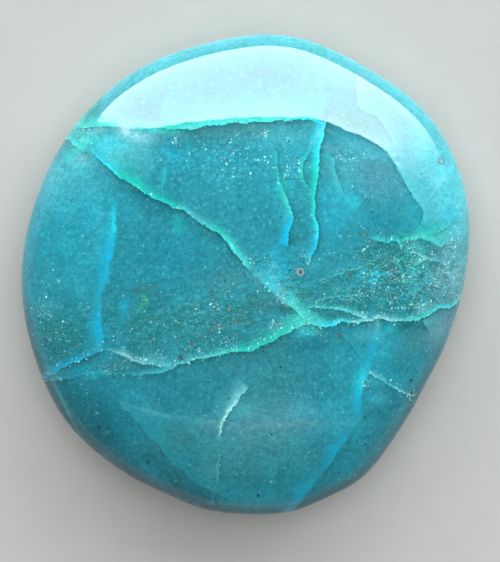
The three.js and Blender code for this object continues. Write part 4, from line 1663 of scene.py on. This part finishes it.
    def _sheet(self, graph: Graph, index: int, jitter: Socket,
               tangle: Socket) -> tuple[Socket, Socket, Socket]:
        """Reads one layer of veins.

        Args:
            graph: The material's nodes.
            index: The layer.
            jitter: Small shift of its lines in mm.
            tangle: Shift of the strands inside its veins, in radians.

        Returns:
            How strong its glow, its bright edge and its painted shade are.
        """
        data = graph.attribute(f"sheet_{index}")
        away, strength, reach = graph.parts(data.outputs["Color"])
        crisp = data.outputs["Alpha"]
        away = graph.math("ADD", away, graph.product(
            jitter, graph.ease(crisp, 0.0, 1.0, 0.4, 1.0)))
        softness = graph.ease(crisp, 0.0, 1.0, self.soft_edge, self.line_softness)
        inside = graph.ease(away, graph.product(softness, -1.0), softness)
        beyond = graph.math("MAXIMUM", away, 0.0)
        before = graph.math("MINIMUM", away, 0.0)
        depth = graph.math("DIVIDE", beyond, graph.math("MAXIMUM", reach, 0.05))
        fade = graph.math("EXPONENT", graph.product(depth, depth, -1.0))
        turns = graph.math("ADD", graph.product(beyond, 2 * math.pi / self.strand_gap), tangle)
        strands = graph.ease(graph.math("COSINE", turns), -0.9, 0.9, 0.84, 1.04)
        line = graph.math("EXPONENT", graph.product(beyond, -1.0 / self.rim_width))
        # painted cast shade outside the sharp edge
        cast = graph.math("EXPONENT", graph.product(before, 1.0 / self.shade_width))
        shown = graph.product(inside, strength)
        outside = graph.product(graph.math("SUBTRACT", 1.0, inside), strength)
        return (graph.product(shown, fade, strands), graph.product(shown, line, crisp),
                graph.product(outside, cast, crisp))

    def _grained(self, graph: Graph, place: Socket, openness: Socket,
                 colour: Socket) -> tuple[Socket, Socket]:
        """Scatters the white quartz grains, the brightest of them painted glints, and the painted
        shade in the pits among them.

        Args:
            graph: The material's nodes.
            place: The shaded place in mm.
            openness: How open the stone is there.
            colour: The colour under the grains.

        Returns:
            The colour with its grains and their painted glints, and how much of a grain each place
            is.
        """
        thick = graph.attribute("grains_and_glints").outputs["Fac"]
        clumps = graph.noise(place, 1.1, detail=3.0, roughness=0.6, distortion=0.4)
        share = graph.math("ADD", graph.product(openness, 0.04), 0.022)
        share = graph.product(share, graph.ease(clumps, 0.40, 0.70, 0.15, 4.0))
        share = graph.math("ADD", share, graph.product(
            thick, graph.ease(clumps, 0.36, 0.60, 0.20, 1.15)))
        loud = graph.math("ADD", graph.product(share, 3.8), 0.28, clamp=True)
        uneven = graph.shaken(place)
        # painted shade in small pits among the grains
        gap, (chance, deep, _) = graph.cells(uneven, self.pit_shade_gap)
        pit_shade = graph.product(graph.ease(gap, 0.38, 0.12), graph.math(
            "LESS_THAN", chance, graph.product(share, 0.9)), graph.ease(deep, 0.0, 1.0, 0.2, 0.8))
        colour = graph.mix(pit_shade, colour, Hue.NIGHT.value)
        grains_and_glints = None
        for size in self.grain_sizes:
            gap, (chance, bright, wide) = graph.cells(uneven, size)
            radius = graph.ease(wide, 0.0, 1.0, 0.05, 0.32)
            dot = graph.ease(graph.math("SUBTRACT", gap, radius), 0.12, -0.06)
            dot = graph.product(dot, graph.math("LESS_THAN", chance, share),
                                graph.ease(bright, 0.0, 1.0, 0.55, 1.0))
            grains_and_glints = dot if grains_and_glints is None else graph.math("MAXIMUM", grains_and_glints, dot)
        grains_and_glints = graph.product(grains_and_glints, loud)
        # the brightest grains turn to SPARK white: painted glints
        hue = graph.mix(graph.ease(grains_and_glints, 0.45, 0.85), Hue.WHITE.value, Hue.SPARK.value)
        return graph.mix(grains_and_glints, colour, hue), grains_and_glints

    def _flecked(self, graph: Graph, place: Socket, colour: Socket) -> Socket:
        """Adds the fine dark specks and the single flecks and ringed pits."""
        gap, (chance, _, wide) = graph.cells(place, 1.05)
        radius = graph.ease(wide, 0.0, 1.0, 0.03, 0.11)
        speck = graph.ease(graph.math("SUBTRACT", gap, radius), 0.05, -0.03)
        speck = graph.product(speck, graph.math("LESS_THAN", chance, 0.12), 0.7)
        colour = graph.mix(speck, colour, Hue.NIGHT.value)
        offset = graph.attribute("fleck").outputs["Vector"]
        length = graph.add("ShaderNodeVectorMath", operation="LENGTH")
        graph.feed(length.inputs[0], offset)
        ragged = graph.noise(place, 0.22, detail=2.0)
        away = graph.math("ADD", length.outputs["Value"],
                          graph.product(graph.math("SUBTRACT", ragged, 0.5), 1.5))
        ring = graph.ease(away, 1.45, 0.80, 0.0, 0.70)
        core = graph.ease(away, 0.75, 0.40, 0.0, 0.85)
        colour = graph.mix(ring, colour, graph.attribute("fleck_rim").outputs["Color"])
        return graph.mix(core, colour, graph.attribute("fleck_core").outputs["Color"])

    def _surface(self, graph: Graph, place: Socket, openness: Socket, colour: Socket,
                 grains_and_glints: Socket) -> None:
        """Joins the colour, the polish and the fine relief to the surface.

        Args:
            graph: The material's nodes.
            place: The shaded place in mm.
            openness: How open the stone is there.
            colour: The stone's colour.
            grains_and_glints: How much of a white grain each place is, the brightest of them
                painted glints.
        """
        worn = graph.product(openness, openness)
        smear = graph.noise(place, 5.0, detail=5.0, roughness=0.6)
        polish = graph.ease(smear, 0.3, 0.7, 0.75 * self.roughness, 1.35 * self.roughness)
        crystals = graph.noise(place, 0.35, detail=3.0, roughness=0.65)
        ripple = graph.noise(place, 1.1, detail=2.0, roughness=0.5)
        height = graph.math("ADD", graph.product(crystals, graph.math(
            "ADD", graph.product(worn, 0.085), 0.0035)), graph.product(ripple, 0.0040))
        height = graph.math("SUBTRACT", height, graph.product(grains_and_glints, 0.004))
        bump = graph.add("ShaderNodeBump")
        graph.feed(bump.inputs["Strength"], 1.0)
        graph.feed(bump.inputs["Distance"], MM)
        graph.feed(bump.inputs["Height"], height)
        shader = graph.add("ShaderNodeBsdfPrincipled")
        graph.feed(shader.inputs["Base Color"], colour)
        graph.feed(shader.inputs["Roughness"], graph.math(
            "ADD", polish, graph.product(worn, self.worn_roughness)))
        graph.feed(shader.inputs["Normal"], bump.outputs[0])
        graph.feed(shader.inputs["IOR"], self.refraction)
        graph.feed(shader.inputs["Subsurface Weight"], self.translucency)
        graph.feed(shader.inputs["Subsurface Radius"], self.spread)
        graph.feed(shader.inputs["Subsurface Scale"], MM)
        graph.finish(shader)


@dataclass(frozen=True)
class FloorFinish:
    """Pale matt board with a faint mottle.

    Attributes:
        pale: The lighter of its two colours.
        dull: The darker of them.
        roughness: How matt it is.
        sheen: How much it shines at a low angle.
    """

    pale: Colour = (0.64, 0.625, 0.60)
    dull: Colour = (0.59, 0.575, 0.55)
    roughness: float = 0.85
    sheen: float = 0.0

    def material(self) -> bpy.types.Material:
        """Builds the material."""
        material = bpy.data.materials.new("pale_board")
        graph = Graph(material)
        mottle = graph.noise(graph.place_in_mm(), 6.0, detail=5.0, roughness=0.6)
        shader = graph.add("ShaderNodeBsdfPrincipled")
        graph.feed(shader.inputs["Base Color"], graph.mix(mottle, self.dull, self.pale))
        graph.feed(shader.inputs["Roughness"], self.roughness)
        graph.feed(shader.inputs["Specular IOR Level"], self.sheen)
        graph.finish(shader)
        return material


@dataclass
class PalmStone:
    """The stone: its skin and its finish."""

    skin: StoneSkin

    def build(self) -> bpy.types.Object:
        """Builds the skin, dresses it and lets it ride on the frame.

        Returns:
            The finished piece.
        """
        piece = self.skin.build()
        piece.data.materials.clear()
        piece.data.materials.append(StoneFinish(layers=self.skin.layers).material())
        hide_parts(NODE)
        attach(piece, BODY)
        return piece


@dataclass
class Studio:
    """Floor, window-like light, overhead fill, sky and camera.

    Attributes:
        floor_size: Side of the floor, in metres.
        floor_gap: How far the floor is under the stone, in metres.
        window_middle: Middle of the upright soft light, in metres.
        window_size: Its width and height, in metres.
        window_colour: Its colour.
        window_shine: How bright it looks in the polish.
        curtain: Heights between which it dims upwards, in metres.
        curtain_share: Share of its brightness that is left above them.
        lintel: Heights between which it then fades out, in metres.
        side_fade: Places along X between which it dims, in metres.
        side_share: Share of its brightness that is left past them.
        window_light: How brightly it lights the stone and the floor.
        fill_spread: Angle across the even light from overhead, in degrees.
        fill_light: How brightly it lights the stone and the floor.
        sky_low: Brightness of the surroundings at the horizon.
        sky_high: Brightness of the surroundings overhead.
        sky_rise: Heights between which one gives way to the other, on a ball one unit across.
        sky_colour: Their colour.
        camera_place: Where the camera is, in metres.
        lens: Focal length in mm.
        sensor: Length of the picture's longer side on the sensor, in mm.
    """

    floor_size: float = 12.0
    floor_gap: float = 0.0001
    window_middle: tuple[float, float, float] = (0.35, 0.35, 0.385)
    window_size: tuple[float, float] = (1.4, 0.74)
    window_colour: Colour = (0.90, 1.0, 1.01)
    window_shine: float = 11.3
    curtain: Place = (0.560, 0.620)
    curtain_share: float = 0.17
    lintel: Place = (0.700, 0.750)
    side_fade: Place = (0.16, 0.78)
    side_share: float = 0.12
    window_light: float = 4.7
    fill_spread: float = 50.0
    fill_light: float = 1.35
    sky_low: float = 0.20
    sky_high: float = 0.07
    sky_rise: Place = (0.0, 0.60)
    sky_colour: Colour = (0.93, 0.98, 1.0)
    camera_place: tuple[float, float, float] = (0.00056, -0.00081, 0.40)
    lens: float = 201.0
    sensor: float = 36.0

    def build(self) -> None:
        """Builds the whole studio."""
        self._floor()
        self._lights()
        self._sky()
        self._camera()
        bpy.context.scene.view_settings.view_transform = "Standard"

    def _floor(self) -> None:
        """Lays the floor just under the stone."""
        bpy.ops.object.select_all(action="DESELECT")
        bpy.ops.mesh.primitive_plane_add(size=self.floor_size, location=(0, 0, -self.floor_gap))
        floor = bpy.context.object
        floor.name = "floor"
        bpy.ops.object.transform_apply(location=True, rotation=True, scale=True)
        floor.data.materials.append(FloorFinish().material())

    def _lights(self) -> None:
        """Hangs the upright soft light beyond the stone's top edge, and the overhead fill.

        A stone's polish shows a window far brighter than the light that it gives, so the
        window is two lights in one place, one for the polish and one for everything else.
        """
        upright = (-math.pi / 2, 0.0, 0.0)
        shine = self._panel("window_shine", self.window_size, self.window_shine)
        shine.visible_diffuse = False
        self._fade(shine.data)
        light = self._panel("window_light", self.window_size, self.window_light)
        light.visible_glossy = False
        for panel in (shine, light):
            panel.location = self.window_middle
            panel.rotation_euler = upright
            panel.data.color = self.window_colour
        overhead = bpy.data.lights.new("fill", "SUN")
        overhead.energy = self.fill_light
        overhead.angle = math.radians(self.fill_spread)
        fill = bpy.data.objects.new("fill", overhead)
        fill.visible_glossy = False
        bpy.context.scene.collection.objects.link(fill)

    def _fade(self, light: bpy.types.Light) -> None:
        """Fades a light out towards its top and dims it towards its right.

        Args:
            light: The light.
        """
        graph = Graph(light)
        x, _, z = graph.parts(graph.add("ShaderNodeNewGeometry").outputs["Position"])
        shine = graph.product(graph.ease(z, *self.curtain, 1.0, self.curtain_share),
                              graph.ease(z, *self.lintel, 1.0, 0.0),
                              graph.ease(x, *self.side_fade, 1.0, self.side_share))
        emission = graph.add("ShaderNodeEmission")
        graph.feed(emission.inputs["Strength"], shine)
        graph.finish(emission, "Light")

    @staticmethod
    def _panel(name: str, size: tuple[float, float], radiance: float) -> bpy.types.Object:
        """Makes a flat soft light that the camera doesn't see.

        Args:
            name: Its name.
            size: Its width and height in metres.
            radiance: How bright its face is.

        Returns:
            The light, at the origin and facing down.
        """
        data = bpy.data.lights.new(name, "AREA")
        data.shape = "RECTANGLE"
        data.size, data.size_y = size
        data.energy = radiance * math.pi * size[0] * size[1]
        panel = bpy.data.objects.new(name, data)
        panel.visible_camera = False
        bpy.context.scene.collection.objects.link(panel)
        return panel

    def _sky(self) -> None:
        """Surrounds the stone with a dim room that is paler towards the horizon."""
        world = bpy.data.worlds.new("room")
        bpy.context.scene.world = world
        graph = Graph(world)
        height = graph.parts(graph.add("ShaderNodeTexCoord").outputs["Generated"])[2]
        light = graph.ease(height, *self.sky_rise, self.sky_low, self.sky_high)
        background = graph.add("ShaderNodeBackground")
        graph.feed(background.inputs["Color"], (*self.sky_colour, 1.0))
        graph.feed(background.inputs["Strength"], light)
        graph.finish(background, "World")

    def _camera(self) -> None:
        """Sets the camera straight above the stone."""
        data = bpy.data.cameras.new("camera")
        data.lens = self.lens
        data.sensor_fit = "AUTO"
        data.sensor_width = self.sensor
        camera = bpy.data.objects.new("camera", data)
        camera.location = self.camera_place
        bpy.context.scene.collection.objects.link(camera)
        bpy.context.scene.camera = camera


def main() -> None:
    """Builds the stone and the studio, and reports each piece."""
    logging.basicConfig(level=logging.INFO, format="%(name)s: %(message)s")
    noise.seed_set(PATTERN_SEED)
    stone = PalmStone(StoneSkin()).build()
    log.info("%s: %d faces", stone.name, len(stone.data.polygons))
    Studio().build()
    log.info("floor, window, room and camera are in place")


if __name__ == "__main__":
    main()
